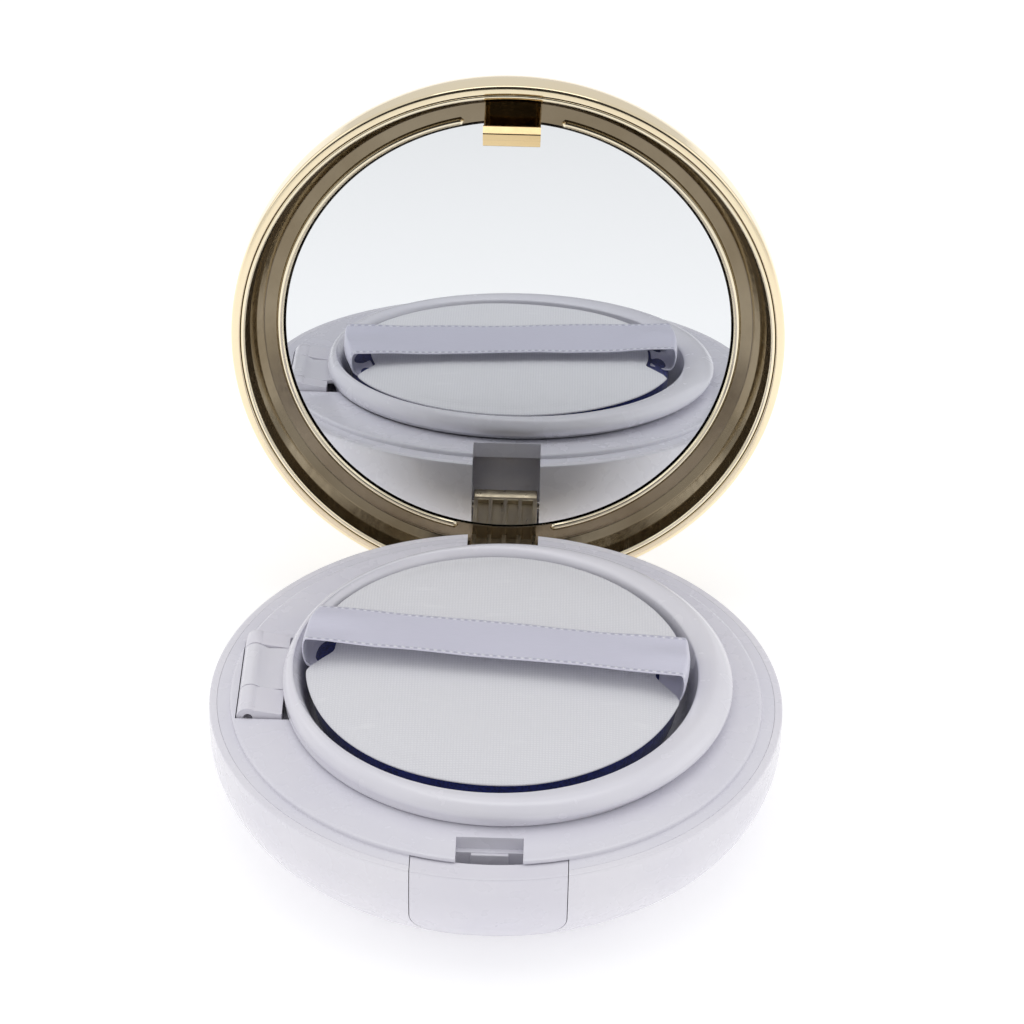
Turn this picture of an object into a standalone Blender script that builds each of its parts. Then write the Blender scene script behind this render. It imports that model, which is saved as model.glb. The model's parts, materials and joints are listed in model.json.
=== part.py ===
"""Air-cushion powder compact: base with push button, hinged mirror lid, hinged inner lid and puff.

Metres, +Z up, front towards -Y. The origin is the middle of the flat foot.
The rest pose has the outer lid fully open and the inner lid shut.
"""
import math

import bmesh
import bpy
from mathutils import Matrix, Vector

MM = 0.001
SEGMENTS = 60

# ---- driving dimensions, in millimetres -------------------------------------------------
BODY_R = 41.0          # outer radius of the base
CORNER_R = 13.0        # rounding from the side of the bowl to its flat foot
PLATEAU_Z = 17.6       # top of the raised plateau
LEDGE_DROP = 0.75      # ledge below the plateau
WALL = 1.8             # moulded wall of the base
LEDGE_WIDTH = 2.95     # from the edge of the plateau to the outside
RIM_WIDTH = 1.1        # rim of the bowl, outside the seam with the frame
SEAM_GAP = 0.15
LID_OVERHANG = 0.5     # of the lid beyond the base, all round
LID_HEIGHT = 11.8      # depth of the lid from its lip to its top
LIP_GAP = 0.35         # between the shut lid and the ledge
MIRROR_R = 33.8
MIRROR_DEPTH = 5.45    # mirror behind the lip plane
HINGE_INSET = 3.6      # big hinge, along X, from the outside of the body
HINGE_Z = 8.9
PIN_R = 0.75
SMALL_PIN_R = 0.6
OPEN_ANGLE = 96.1      # how far the lid opens, degrees
DISH_X = 0.2           # middle of the recess of the inner lid
DISH_Y = 1.2
DISH_R = 27.7          # recess radius at its mouth
DISH_RIM = 4.3         # from the recess to the outer edge of the inner lid
INNER_REACH = 3.2      # small hinge, along Y, from the edge of the inner lid
INNER_Z = 17.5
KNUCKLE_R = 1.65
BRACKET_FRONT = -7.6
BRACKET_REAR = 11.4
PUFF_GAP = 1.2         # between the puff and the mouth of the recess
BUTTON_HALF = 10.7     # half width of the push button
BUTTON_LOW = 3.9       # lower edge of the push button
SLOT_HALF = 4.6        # half width of the latch slot
SLOT_DEPTH = 3.5       # front of the hook to the back of the slot
HOOK_HALF = 4.15
HOOK_INSET = 4.6       # front of the hook from the outside of the body
HOOK_THICK = 1.8
ARM_HALF = 5.0
NOTCH_GAP = 0.35
RIBBON_HALF = 4.9      # half width of the finger ribbon
RIBBON_THICK = 0.3

LEDGE_Z = PLATEAU_Z - LEDGE_DROP
FOOT_R = BODY_R - CORNER_R
LID_R = BODY_R + LID_OVERHANG
PLATEAU_R = BODY_R - LEDGE_WIDTH
SEAM_R = BODY_R - RIM_WIDTH
HINGE_Y = BODY_R - HINGE_INSET
CREST_R = DISH_R + DISH_RIM
INNER_X = DISH_X - CREST_R - INNER_REACH
PUFF_R = DISH_R - PUFF_GAP
HOOK_FRONT = HOOK_INSET - BODY_R
HOOK_BACK = HOOK_FRONT + HOOK_THICK
SLOT_BACK = HOOK_FRONT + SLOT_DEPTH
FAR = BODY_R + 6.0     # clear of the body, for cutting tools
LIP_Z = LEDGE_Z + LIP_GAP
TOP_Z = LIP_Z + LID_HEIGHT
MIRROR_Z = LIP_Z + MIRROR_DEPTH


# ---- scene and materials ----------------------------------------------------------------
for old in list(bpy.data.objects):
    bpy.data.objects.remove(old, do_unlink=True)

parts = bpy.data.collections.new("powder_compact")
bpy.context.scene.collection.children.link(parts)


def material(name, colour, roughness, metallic=0.0):
    mat = bpy.data.materials.new(name)
    mat.use_nodes = True
    shader = mat.node_tree.nodes["Principled BSDF"]
    shader.inputs["Base Color"].default_value = (*colour, 1.0)
    shader.inputs["Roughness"].default_value = roughness
    shader.inputs["Metallic"].default_value = metallic
    mat.diffuse_color = (*colour, 1.0)
    return mat


# ---- building helpers -------------------------------------------------------------------
def finish(name, bm, mat=None, smooth=True):
    """Turn a bmesh in millimetres into a named object in metres."""
    bmesh.ops.recalc_face_normals(bm, faces=bm.faces)
    bmesh.ops.scale(bm, vec=(MM, MM, MM), verts=bm.verts)
    mesh = bpy.data.meshes.new(name)
    bm.to_mesh(mesh)
    bm.free()
    obj = bpy.data.objects.new(name, mesh)
    parts.objects.link(obj)
    if mat:
        mesh.materials.append(mat)
    if smooth:
        mesh.shade_smooth()
        mesh.set_sharp_from_angle(angle=math.radians(32))
    return obj


def rings_solid(name, rings, mat=None, closed=False):
    """Loft circles (centre x, centre y, radius, z) whose middles differ; radius 0 is a pole."""
    bm = bmesh.new()
    loops = []
    for cx, cy, radius, z in rings:
        if radius == 0:
            loops.append([bm.verts.new((cx, cy, z))])
            continue
        loop = []
        for i in range(SEGMENTS):
            a = 2 * math.pi * i / SEGMENTS
            loop.append(bm.verts.new((cx + radius * math.cos(a), cy + radius * math.sin(a), z)))
        loops.append(loop)
    pairs = list(zip(loops, loops[1:]))
    if closed:
        pairs.append((loops[-1], loops[0]))
    for one, two in pairs:
        for i in range(SEGMENTS):
            j = (i + 1) % SEGMENTS
            if len(one) == 1:
                bm.faces.new((one[0], two[i], two[j]))
            elif len(two) == 1:
                bm.faces.new((one[i], two[0], one[j]))
            else:
                bm.faces.new((one[i], two[i], two[j], one[j]))
    return finish(name, bm, mat)


def turned(name, profile, mat=None, closed=False, centre=(0.0, 0.0)):
    """A piece turned about an upright axis from (radius, z) points."""
    bm = bmesh.new()
    verts = [bm.verts.new((radius, 0, z)) for radius, z in profile]
    edges = [bm.edges.new(pair) for pair in zip(verts, verts[1:])]
    if closed:
        edges.append(bm.edges.new((verts[-1], verts[0])))
    bmesh.ops.spin(bm, geom=verts + edges, axis=(0, 0, 1), cent=(0, 0, 0), angle=2 * math.pi,
                   steps=SEGMENTS, use_merge=True)
    bmesh.ops.remove_doubles(bm, verts=bm.verts, dist=0.001)
    bmesh.ops.translate(bm, vec=(*centre, 0), verts=bm.verts)
    return finish(name, bm, mat)


def arc(cx, cz, radius, start, end, steps):
    """Points of an arc in the (radius, z) plane, angles in degrees from the outward direction."""
    out = []
    for i in range(steps + 1):
        a = math.radians(start + (end - start) * i / steps)
        out.append((cx + radius * math.cos(a), cz + radius * math.sin(a)))
    return out


def block(name, low, high, mat=None):
    """A box between two corners, in millimetres."""
    bm = bmesh.new()
    bmesh.ops.create_cube(bm, size=1.0)
    low = Vector(low)
    high = Vector(high)
    size = high - low
    bmesh.ops.scale(bm, vec=size, verts=bm.verts)
    bmesh.ops.translate(bm, vec=(low + high) / 2, verts=bm.verts)
    return finish(name, bm, mat, smooth=False)


def rod(name, start, end, radius, mat=None, sides=32):
    """A straight round bar between two points."""
    start = Vector(start)
    end = Vector(end)
    along = end - start
    bm = bmesh.new()
    bmesh.ops.create_cone(bm, cap_ends=True, segments=sides, radius1=radius, radius2=radius,
                          depth=along.length)
    turn = Vector((0, 0, 1)).rotation_difference(along.normalized()).to_matrix().to_4x4()
    bmesh.ops.transform(bm, matrix=Matrix.Translation((start + end) / 2) @ turn, verts=bm.verts)
    return finish(name, bm, mat)


def prism(name, outline, axis, low, high, mat=None):
    """A flat outline swept along X (outline in y, z) or Y (outline in x, z)."""
    bm = bmesh.new()
    if axis == "X":
        verts = [bm.verts.new((low, a, b)) for a, b in outline]
        along = Vector((high - low, 0, 0))
    else:
        verts = [bm.verts.new((a, low, b)) for a, b in outline]
        along = Vector((0, high - low, 0))
    swept = bmesh.ops.extrude_face_region(bm, geom=[bm.faces.new(verts)], use_keep_orig=True)
    moved = [v for v in swept["geom"] if isinstance(v, bmesh.types.BMVert)]
    bmesh.ops.translate(bm, vec=along, verts=moved)
    return finish(name, bm, mat)


def combine(obj, tool, operation):
    """Apply one exact boolean and drop the tool."""
    step = obj.modifiers.new(operation.lower(), "BOOLEAN")
    step.operation = operation
    step.solver = "EXACT"
    step.object = tool
    with bpy.context.temp_override(object=obj, active_object=obj, selected_objects=[obj]):
        bpy.ops.object.modifier_apply(modifier=step.name)
    bpy.data.objects.remove(tool, do_unlink=True)
    obj.data.shade_smooth()
    obj.data.set_sharp_from_angle(angle=math.radians(32))
    return obj


def cut(obj, tool):
    return combine(obj, tool, "DIFFERENCE")


def join(obj, tool):
    return combine(obj, tool, "UNION")


def pivot(name, at):
    empty = bpy.data.objects.new(name, None)
    empty.empty_display_size = 0.006
    empty.location = Vector(at) * MM
    parts.objects.link(empty)
    return empty


def hang(obj, parent, at):
    """Parent a piece modelled in place to an empty that stands at the joint."""
    obj.parent = parent
    obj.matrix_parent_inverse = Matrix.Translation(-Vector(at) * MM)


white = {}
for piece in ("base_shell", "base_frame", "release_button", "refill_cup", "inner_lid"):
    white[piece] = material(piece + "_white", (0.80, 0.79, 0.84), 0.22)
steel = material("hinge_pin_steel", (0.42, 0.41, 0.40), 0.3, 1.0)
pin_white = material("inner_pin_plastic", (0.55, 0.54, 0.55), 0.4)
gold_shell = material("lid_shell_gold", (0.93, 0.70, 0.36), 0.16, 1.0)
gold_liner = material("lid_liner_gold", (0.62, 0.50, 0.28), 0.2, 1.0)
glass = material("mirror_glass", (0.92, 0.93, 0.94), 0.02, 1.0)
tape = material("tape_grey", (0.30, 0.30, 0.32), 0.7)
sponge_mat = material("sponge_beige", (0.80, 0.62, 0.47), 0.9)
seal_mat = material("seal_silicone", (0.78, 0.78, 0.80), 0.45)
foam_mat = material("puff_navy", (0.014, 0.024, 0.20), 0.9)
cover_mat = material("puff_fabric", (0.76, 0.77, 0.77), 0.85)
ribbon_mat = material("ribbon_satin", (0.62, 0.62, 0.80), 0.35)


# ---- base shell -------------------------------------------------------------------------
inner_corner = CORNER_R - WALL
profile = [(0, WALL), (FOOT_R - 1.0, WALL)]
profile += arc(FOOT_R, CORNER_R, inner_corner, -82, 0, 5)
profile += [
    (BODY_R - WALL, LEDGE_Z - 1.95),
    (SEAM_R, LEDGE_Z - 1.95),
    (SEAM_R, LEDGE_Z - 0.12),
    (SEAM_R + 0.12, LEDGE_Z),
    (BODY_R - 0.35, LEDGE_Z),
    (BODY_R - 0.1, LEDGE_Z - 0.1),
    (BODY_R, LEDGE_Z - 0.35),
]
profile += arc(FOOT_R, CORNER_R, CORNER_R, 0, -90, 8)
profile += [(0, 0)]
base_shell = turned("base_shell", profile, white["base_shell"])

# cheeks that hold the big hinge pin, either side of the rear notch
notch_half = ARM_HALF + NOTCH_GAP
for side in (-1, 1):
    x0, x1 = sorted((side * (notch_half - 0.2), side * (notch_half + 2.9)))
    cheek = block("cheek", (x0, HINGE_Y - 2.6, HINGE_Z - 2.1), (x1, HINGE_Y + 0.8, HINGE_Z + 2.3))
    join(base_shell, cheek)
notch = block("notch", (-notch_half, HINGE_Y - 4.4, HINGE_Z - 4.0), (notch_half, FAR, 30))
cut(base_shell, notch)
bore = rod("bore", (-notch_half - 2.4, HINGE_Y, HINGE_Z), (notch_half + 2.4, HINGE_Y, HINGE_Z), PIN_R + 0.07)
cut(base_shell, bore)


def button_outline(grow):
    """Front outline of the button in x, z, with rounded lower corners."""
    half = BUTTON_HALF + grow
    low = BUTTON_LOW - grow
    corner = 4.6 + grow
    points = [(-half, 20.0), (half, 20.0)]
    for i in range(9):
        a = math.radians(-90 * i / 8)
        points.append((half - corner + corner * math.cos(a), low + corner + corner * math.sin(a)))
    for i in range(9):
        a = math.radians(-90 - 90 * i / 8)
        points.append((-half + corner + corner * math.cos(a), low + corner + corner * math.sin(a)))
    return points


cut(base_shell, prism("button_gap", button_outline(0.25), "Y", -FAR, 14.0 - BODY_R))

# ---- release button ---------------------------------------------------------------------
thick = 1.4
profile = [
    (PLATEAU_R - 0.45, LEDGE_Z - 1.4),
    (PLATEAU_R - 0.45, LEDGE_Z),
    (BODY_R - 0.35, LEDGE_Z),
    (BODY_R - 0.1, LEDGE_Z - 0.1),
    (BODY_R, LEDGE_Z - 0.35),
]
profile += arc(FOOT_R, CORNER_R, CORNER_R, 0, -62, 7)
profile += arc(FOOT_R, CORNER_R, CORNER_R - thick, -62, 0, 5)
profile += [(BODY_R - thick, LEDGE_Z - 1.4)]
release_button = turned("release_button", profile, white["release_button"], closed=True)
combine(release_button, prism("button_block", button_outline(0.0), "Y", -FAR, 14.0 - BODY_R), "INTERSECT")
tongue = block("tongue", (-2.7, -BODY_R + 1.0, 11.3), (2.7, -BODY_R + 2.55, 13.2))
join(release_button, tongue)

# ---- base frame -------------------------------------------------------------------------
plate_z = PLATEAU_Z - 2.4
hole_r = DISH_R + 1.9
rings = [
    (0, 0, PLATEAU_R - 0.25, PLATEAU_Z),
    (0, 0, PLATEAU_R - 0.06, PLATEAU_Z - 0.08),
    (0, 0, PLATEAU_R, PLATEAU_Z - 0.28),
    (0, 0, PLATEAU_R, LEDGE_Z),
    (0, 0, SEAM_R - SEAM_GAP - 0.02, LEDGE_Z),
    (0, 0, SEAM_R - SEAM_GAP, plate_z),
    (DISH_X, DISH_Y, hole_r, plate_z),
    (DISH_X, DISH_Y, hole_r, PLATEAU_Z - 1.5),
    (DISH_X + 0.3, DISH_Y - 0.3, hole_r + 0.6, PLATEAU_Z - 1.5),
    (DISH_X + 0.3, DISH_Y - 0.3, hole_r + 0.6, PLATEAU_Z),
]
base_frame = rings_solid("base_frame", rings, white["base_frame"], closed=True)

well = block("well", (-SLOT_HALF - 1.2, HOOK_FRONT - 1.5, 10.6),
             (SLOT_HALF + 1.2, SLOT_BACK + 1.2, plate_z + 0.6))
join(base_frame, well)
# space for the button under the edge of the plateau
room_back = 1.91 - math.sqrt(PLATEAU_R ** 2 - BUTTON_HALF ** 2)
room = block("room", (-BUTTON_HALF - 0.45, -FAR, plate_z - 0.2),
             (BUTTON_HALF + 0.45, room_back, PLATEAU_Z - 0.5))
cut(base_frame, room)
# the slot narrows in steps towards the back and leaves two catches at its front corners
cut(base_frame, block("slot_top", (-SLOT_HALF, -FAR, 15.6), (SLOT_HALF, SLOT_BACK, 19)))
cut(base_frame, block("slot_low", (-SLOT_HALF, HOOK_FRONT - 0.35, 9), (SLOT_HALF, SLOT_BACK - 0.8, 16)))
cut(base_frame, block("slot_front", (-3.0, -FAR, 9.2), (3.0, HOOK_FRONT, 15.8)))
cut(base_frame, block("slot_under", (-SLOT_HALF, -FAR - 1, 8.8), (SLOT_HALF, HOOK_FRONT - 0.2, 13.7)))
boss = block("boss", (-2.6, SLOT_BACK - 1.25, 11.6), (2.6, SLOT_BACK - 0.6, 15.5))
join(base_frame, boss)
# rear notch for the arm of the lid, side notch for the hinge of the refill
cut(base_frame, block("arm_notch", (-notch_half, HINGE_Y - 4.4, 10), (notch_half, FAR, 30)))
side_notch = block("side_notch", (INNER_X - 1.95, BRACKET_FRONT - 0.3, 10),
                   (INNER_X + 8.0, BRACKET_REAR + 0.3, 30))
cut(base_frame, side_notch)

# ---- big hinge pin ----------------------------------------------------------------------
pin_end = notch_half + 2.2
lid_hinge_pin = rod("lid_hinge_pin", (-pin_end, HINGE_Y, HINGE_Z), (pin_end, HINGE_Y, HINGE_Z), PIN_R, steel)

# ---- refill cup with its hinge ears -----------------------------------------------------
cup_r = hole_r - 0.25
flange_r = hole_r + 0.45
flange_top = PLATEAU_Z - 0.25
cup_floor = WALL + 0.8
rings = [
    (DISH_X, DISH_Y, 0, cup_floor + 1.2),
    (DISH_X, DISH_Y, cup_r - 2.7, cup_floor + 1.2),
    (DISH_X, DISH_Y, cup_r - 1.9, cup_floor + 2.0),
    (DISH_X, DISH_Y, cup_r - 0.85, 12.0),
    (DISH_X, DISH_Y, cup_r - 0.85, flange_top),
    (DISH_X + 0.3, DISH_Y - 0.3, flange_r, flange_top),
    (DISH_X + 0.3, DISH_Y - 0.3, flange_r, flange_top - 1.0),
    (DISH_X, DISH_Y, cup_r, flange_top - 1.0),
    (DISH_X, DISH_Y, cup_r, 11.6),
    (DISH_X, DISH_Y, cup_r - 0.9, cup_floor + 1.8),
    (DISH_X, DISH_Y, cup_r - 2.2, cup_floor),
    (DISH_X, DISH_Y, 0, cup_floor),
]
refill_cup = rings_solid("refill_cup", rings, white["refill_cup"])
bracket_low = INNER_Z - 2.8
bracket = block("bracket", (INNER_X - 1.4, BRACKET_FRONT, bracket_low),
                (DISH_X - cup_r + 0.45, BRACKET_REAR, bracket_low + 0.8))
middle_front = BRACKET_FRONT + 5.9
middle_rear = BRACKET_REAR - 3.3
ears = [(BRACKET_FRONT, middle_front - 0.3), (middle_rear + 0.3, BRACKET_REAR)]
for y0, y1 in ears:
    outline = [
        (INNER_X + 4.8, INNER_Z + 0.75),
        (INNER_X + 4.8, bracket_low + 0.3),
        (INNER_X - 1.2, bracket_low + 0.3),
    ]
    for i in range(10):
        a = math.radians(195 - 140 * i / 9)
        outline.append((INNER_X + KNUCKLE_R * math.cos(a), INNER_Z + KNUCKLE_R * math.sin(a)))
    join(bracket, prism("ear", outline, "Y", y0, y1))
join(refill_cup, bracket)
cut(refill_cup, rod("ear_bore", (INNER_X, BRACKET_FRONT - 1, INNER_Z),
                    (INNER_X, BRACKET_REAR - 1.0, INNER_Z), SMALL_PIN_R + 0.08, sides=20))

cushion_sponge = turned("cushion_sponge", [
    (0, cup_floor + 8.2),
    (cup_r - 2.9, cup_floor + 8.2),
    (cup_r - 2.2, cup_floor + 7.5),
    (cup_r - 2.4, cup_floor + 3.0),
    (cup_r - 3.3, cup_floor + 1.45),
    (0, cup_floor + 1.45),
], sponge_mat, centre=(DISH_X, DISH_Y))

# ---- inner lid --------------------------------------------------------------------------
crest_x = DISH_X + 1.8
crest_y = DISH_Y - 0.5
crest_z = PLATEAU_Z + 3.9
foot_z = PLATEAU_Z + 0.12
dish_floor = PLATEAU_Z - 3.6


def between(t, radius, z):
    """A ring whose middle moves from the recess (t=0) to the outer edge (t=1)."""
    return (DISH_X + (crest_x - DISH_X) * t, DISH_Y + (crest_y - DISH_Y) * t, radius, z)


rings = [
    between(0, 0, dish_floor),
    between(0, DISH_R - 2.0, dish_floor),
    between(0, DISH_R - 1.1, dish_floor + 0.45),
    between(0, DISH_R - 0.8, dish_floor + 1.4),
    between(0, DISH_R - 0.4, dish_floor + 4.2),
    between(0, DISH_R, crest_z - 1.2),
    between(0.2, DISH_R + 0.65, crest_z - 0.4),
    between(0.5, CREST_R - 2.5, crest_z),
    between(0.8, CREST_R - 1.1, crest_z - 0.3),
    between(1, CREST_R - 0.25, crest_z - 1.1),
    between(1, CREST_R, crest_z - 1.9),
    between(0.8, CREST_R - 0.45, crest_z - 2.8),
    (DISH_X + 0.7, DISH_Y - 0.8, CREST_R - 1.05, foot_z + 0.4),
    (DISH_X + 0.6, DISH_Y - 0.9, CREST_R - 1.3, foot_z),
    between(0, DISH_R + 0.35, foot_z),
    between(0, DISH_R - 0.05, foot_z - 0.6),
    between(0, DISH_R - 0.15, dish_floor - 0.2),
    between(0, DISH_R - 0.9, dish_floor - 1.0),
    between(0, 0, dish_floor - 1.0),
]
inner_lid = rings_solid("inner_lid", rings, white["inner_lid"])
outline = [
    (INNER_X + 6.6, INNER_Z + 1.15),
    (INNER_X + 6.6, INNER_Z + 0.2),
    (INNER_X + 1.7, INNER_Z + 0.2),
]
for i in range(19):
    a = math.radians(6.0 - 308 * i / 18)
    outline.append((INNER_X + KNUCKLE_R * math.cos(a), INNER_Z + KNUCKLE_R * math.sin(a)))
outline.append((INNER_X + 1.9, INNER_Z + 0.85))
outline.append((INNER_X + 4.7, INNER_Z + 0.85))
leaf = prism("leaf", outline, "Y", middle_front, middle_rear)
join(inner_lid, leaf)
cut(inner_lid, rod("leaf_bore", (INNER_X, middle_front - 1, INNER_Z),
                   (INNER_X, middle_rear + 1, INNER_Z), SMALL_PIN_R + 0.08, sides=20))

seal_r = DISH_R - 0.03
inner_lid_seal = turned("inner_lid_seal", [
    (seal_r, PLATEAU_Z - 1.1),
    (seal_r + 0.42, PLATEAU_Z - 1.4),
    (seal_r + 0.42, PLATEAU_Z - 2.0),
    (seal_r, PLATEAU_Z - 2.3),
], seal_mat, closed=True, centre=(DISH_X, DISH_Y))

inner_lid_pin = rod("inner_lid_pin", (INNER_X, BRACKET_FRONT + 1.6, INNER_Z),
                    (INNER_X, BRACKET_REAR - 1.3, INNER_Z), SMALL_PIN_R, pin_white, 20)

# ---- puff -------------------------------------------------------------------------------
puff_low = dish_floor + 0.3
puff_top = PLATEAU_Z + 2.65
puff_foam = turned("puff_foam", [
    (0, puff_top),
    (PUFF_R - 1.0, puff_top),
    (PUFF_R - 0.2, puff_top - 0.5),
    (PUFF_R, puff_top - 1.9),
    (PUFF_R - 0.2, puff_low + 1.5),
    (PUFF_R - 1.2, puff_low + 0.3),
    (PUFF_R - 2.4, puff_low),
    (0, puff_low),
], foam_mat, centre=(DISH_X, DISH_Y))

puff_cover = turned("puff_cover", [
    (0, puff_top + 1.05),
    (PUFF_R * 0.55, puff_top + 0.98),
    (PUFF_R - 3.0, puff_top + 0.75),
    (PUFF_R - 0.7, puff_top + 0.42),
    (PUFF_R - 0.1, puff_top + 0.2),
    (PUFF_R - 0.3, puff_top + 0.08),
    (0, puff_top + 0.08),
], cover_mat, centre=(DISH_X, DISH_Y))

# the ribbon crosses the puff from side to side and tucks down at both ends
across = 6
bm = bmesh.new()
stations = [(-1, 2.2), (-1, 1.1), (-1, 0.15)]
stations += [(-0.985 + 1.97 * i / 14, 0.0) for i in range(15)]
stations += [(1, 0.15), (1, 1.1), (1, 2.2)]
under = []
over = []
for s, drop in stations:
    row_under = []
    row_over = []
    for k in range(across + 1):
        y = DISH_Y + 5.15 - 1.6 * s - 0.25 * s * s + RIBBON_HALF * (2 * k / across - 1)
        reach = math.sqrt((PUFF_R + 0.14) ** 2 - (y - DISH_Y) ** 2)
        crown = puff_top + 1.28 - 0.75 * abs(s) ** 3
        if drop:
            sign = 1 if s > 0 else -1
            z = puff_top + 0.45 - drop
            row_under.append(bm.verts.new((DISH_X + sign * reach, y, z)))
            row_over.append(bm.verts.new((DISH_X + sign * (reach + RIBBON_THICK), y, z)))
        else:
            x = DISH_X + s * reach
            row_under.append(bm.verts.new((x, y, crown)))
            row_over.append(bm.verts.new((x, y, crown + RIBBON_THICK)))
    under.append(row_under)
    over.append(row_over)
for sheet in (under, over):
    for a, b in zip(sheet, sheet[1:]):
        for k in range(across):
            bm.faces.new((a[k], a[k + 1], b[k + 1], b[k]))
for a, b, c, d in zip(under, under[1:], over, over[1:]):
    bm.faces.new((a[0], b[0], d[0], c[0]))
    bm.faces.new((a[-1], b[-1], d[-1], c[-1]))
for a, c in ((under[0], over[0]), (under[-1], over[-1])):
    for k in range(across):
        bm.faces.new((a[k], a[k + 1], c[k + 1], c[k]))
puff_ribbon = finish("puff_ribbon", bm, ribbon_mat)

# ---- outer lid, modelled shut -----------------------------------------------------------
lid_corner = 8.8
corner_z = TOP_Z - 0.35 - lid_corner
shell_wall = 1.35
profile = [(0, TOP_Z), (LID_R * 0.45, TOP_Z - 0.08)]
profile += arc(LID_R - lid_corner, corner_z, lid_corner, 88, 0, 7)
profile += [
    (LID_R, LIP_Z + 0.5),
    (LID_R - 0.12, LIP_Z + 0.15),
    (LID_R - 0.5, LIP_Z),
    (LID_R - RIM_WIDTH - 0.15, LIP_Z),
    (LID_R - RIM_WIDTH - 0.25, LIP_Z + 0.1),
]
profile += arc(LID_R - lid_corner, corner_z, lid_corner - shell_wall, 0, 88, 4)
profile += [(0, TOP_Z - shell_wall - 0.2)]
lid_shell = turned("lid_shell", profile, gold_shell)

liner_r = LID_R - RIM_WIDTH - 0.35
back_z = MIRROR_Z + 2.8
profile = [
    (0, back_z),
    (LID_R - 5.6, back_z),
    (LID_R - 4.0, back_z - 0.8),
    (LID_R - 2.7, MIRROR_Z - 0.6),
    (liner_r, MIRROR_Z - 3.4),
    (liner_r, LIP_Z + 0.15),
    (liner_r - 0.12, LIP_Z),
    (liner_r - 0.5, LIP_Z),
    (liner_r - 0.65, LIP_Z + 0.15),
    (liner_r - 0.8, LIP_Z + 1.5),
    (liner_r - 1.15, LIP_Z + 2.9),
    (liner_r - 2.05, MIRROR_Z - 1.0),
    (MIRROR_R + 3.1, MIRROR_Z),
    (MIRROR_R + 1.25, MIRROR_Z),
    (MIRROR_R + 1.0, MIRROR_Z - 0.45),
    (MIRROR_R + 0.55, MIRROR_Z - 0.55),
    (MIRROR_R + 0.2, MIRROR_Z - 0.35),
    (MIRROR_R + 0.15, MIRROR_Z),
    (MIRROR_R + 0.15, MIRROR_Z + 1.55),
    (0, MIRROR_Z + 1.55),
]
lid_liner = turned("lid_liner", profile, gold_liner)
for y0, y1 in ((-MIRROR_R - 2.9, 2.1 - MIRROR_R), (MIRROR_R - 2.1, MIRROR_R + 2.9)):
    cut(lid_liner, block("ridge_gap", (-7.1, y0, MIRROR_Z - 2.0), (7.1, y1, MIRROR_Z + 0.02)))

# hook: a plate with two rails on its front face and a lip at its tip
hook_low = LIP_Z - 6.1
join(lid_liner, block("hook_plate", (-HOOK_HALF, HOOK_FRONT + 0.75, hook_low),
                      (HOOK_HALF, HOOK_BACK, MIRROR_Z + 1.0)))
for side in (-1, 1):
    x0, x1 = sorted((side * (HOOK_HALF - 0.75), side * HOOK_HALF))
    join(lid_liner, block("hook_rail", (x0, HOOK_FRONT, hook_low + 0.5),
                          (x1, HOOK_FRONT + 0.9, MIRROR_Z + 0.9)))
lip = [
    (HOOK_FRONT + 0.9, hook_low),
    (HOOK_FRONT + 0.9, hook_low + 1.7),
    (HOOK_FRONT + 0.1, hook_low + 1.7),
    (HOOK_FRONT - 0.9, hook_low + 1.3),
    (HOOK_FRONT - 0.9, hook_low + 0.9),
    (HOOK_FRONT - 0.1, hook_low),
]
join(lid_liner, prism("hook_lip", lip, "X", -HOOK_HALF, HOOK_HALF))

# arm: a ribbed web with an eye round the hinge pin
web_in = HINGE_Y - 1.3
eye_r = 2.3
outline = [(web_in, MIRROR_Z + 1.2), (web_in, HINGE_Z + 1.9)]
for i in range(13):
    a = math.radians(125 + 200 * i / 12)
    outline.append((HINGE_Y + eye_r * math.cos(a), HINGE_Z + eye_r * math.sin(a)))
outline += [(HINGE_Y + 1.3, HINGE_Z + 3.0), (HINGE_Y + 1.3, LIP_Z + 2.0), (HINGE_Y + 0.4, MIRROR_Z + 1.2)]
join(lid_liner, prism("arm", outline, "X", -ARM_HALF, ARM_HALF))
rib_front = web_in - 0.75
for i in range(5):
    x = (i - 2) * (ARM_HALF - 0.35) / 2
    join(lid_liner, block("rib", (x - 0.34, rib_front, HINGE_Z + 2.0),
                          (x + 0.34, web_in + 0.2, MIRROR_Z + 0.8)))
join(lid_liner, block("rib_end", (-ARM_HALF + 0.01, rib_front + 0.01, HINGE_Z + 1.4),
                      (ARM_HALF - 0.01, web_in + 0.3, HINGE_Z + 2.2)))
cut(lid_liner, rod("eye_bore", (-8, HINGE_Y, HINGE_Z), (8, HINGE_Y, HINGE_Z), PIN_R + 0.07))

mirror = turned("mirror", [
    (0, MIRROR_Z + 1.25),
    (MIRROR_R, MIRROR_Z + 1.25),
    (MIRROR_R, MIRROR_Z + 0.25),
    (MIRROR_R - 0.2, MIRROR_Z + 0.05),
    (0, MIRROR_Z + 0.05),
], glass)

mirror_tape = turned("mirror_tape", [
    (0, MIRROR_Z + 1.50),
    (MIRROR_R - 1.5, MIRROR_Z + 1.50),
    (MIRROR_R - 1.5, MIRROR_Z + 1.30),
    (0, MIRROR_Z + 1.30),
], tape)

# ---- joints: each moving piece hangs from an empty on its axis ----------------------------
lid_at = (0, HINGE_Y, HINGE_Z)
lid_pivot = pivot("lid_pivot", lid_at)
for obj in (lid_shell, lid_liner, mirror, mirror_tape):
    hang(obj, lid_pivot, lid_at)
lid_pivot.rotation_euler = (math.radians(-OPEN_ANGLE), 0, 0)

refill_at = (DISH_X, DISH_Y, PLATEAU_Z)
refill_pivot = pivot("refill_pivot", refill_at)
for obj in (refill_cup, cushion_sponge, inner_lid_pin):
    hang(obj, refill_pivot, refill_at)

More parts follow.
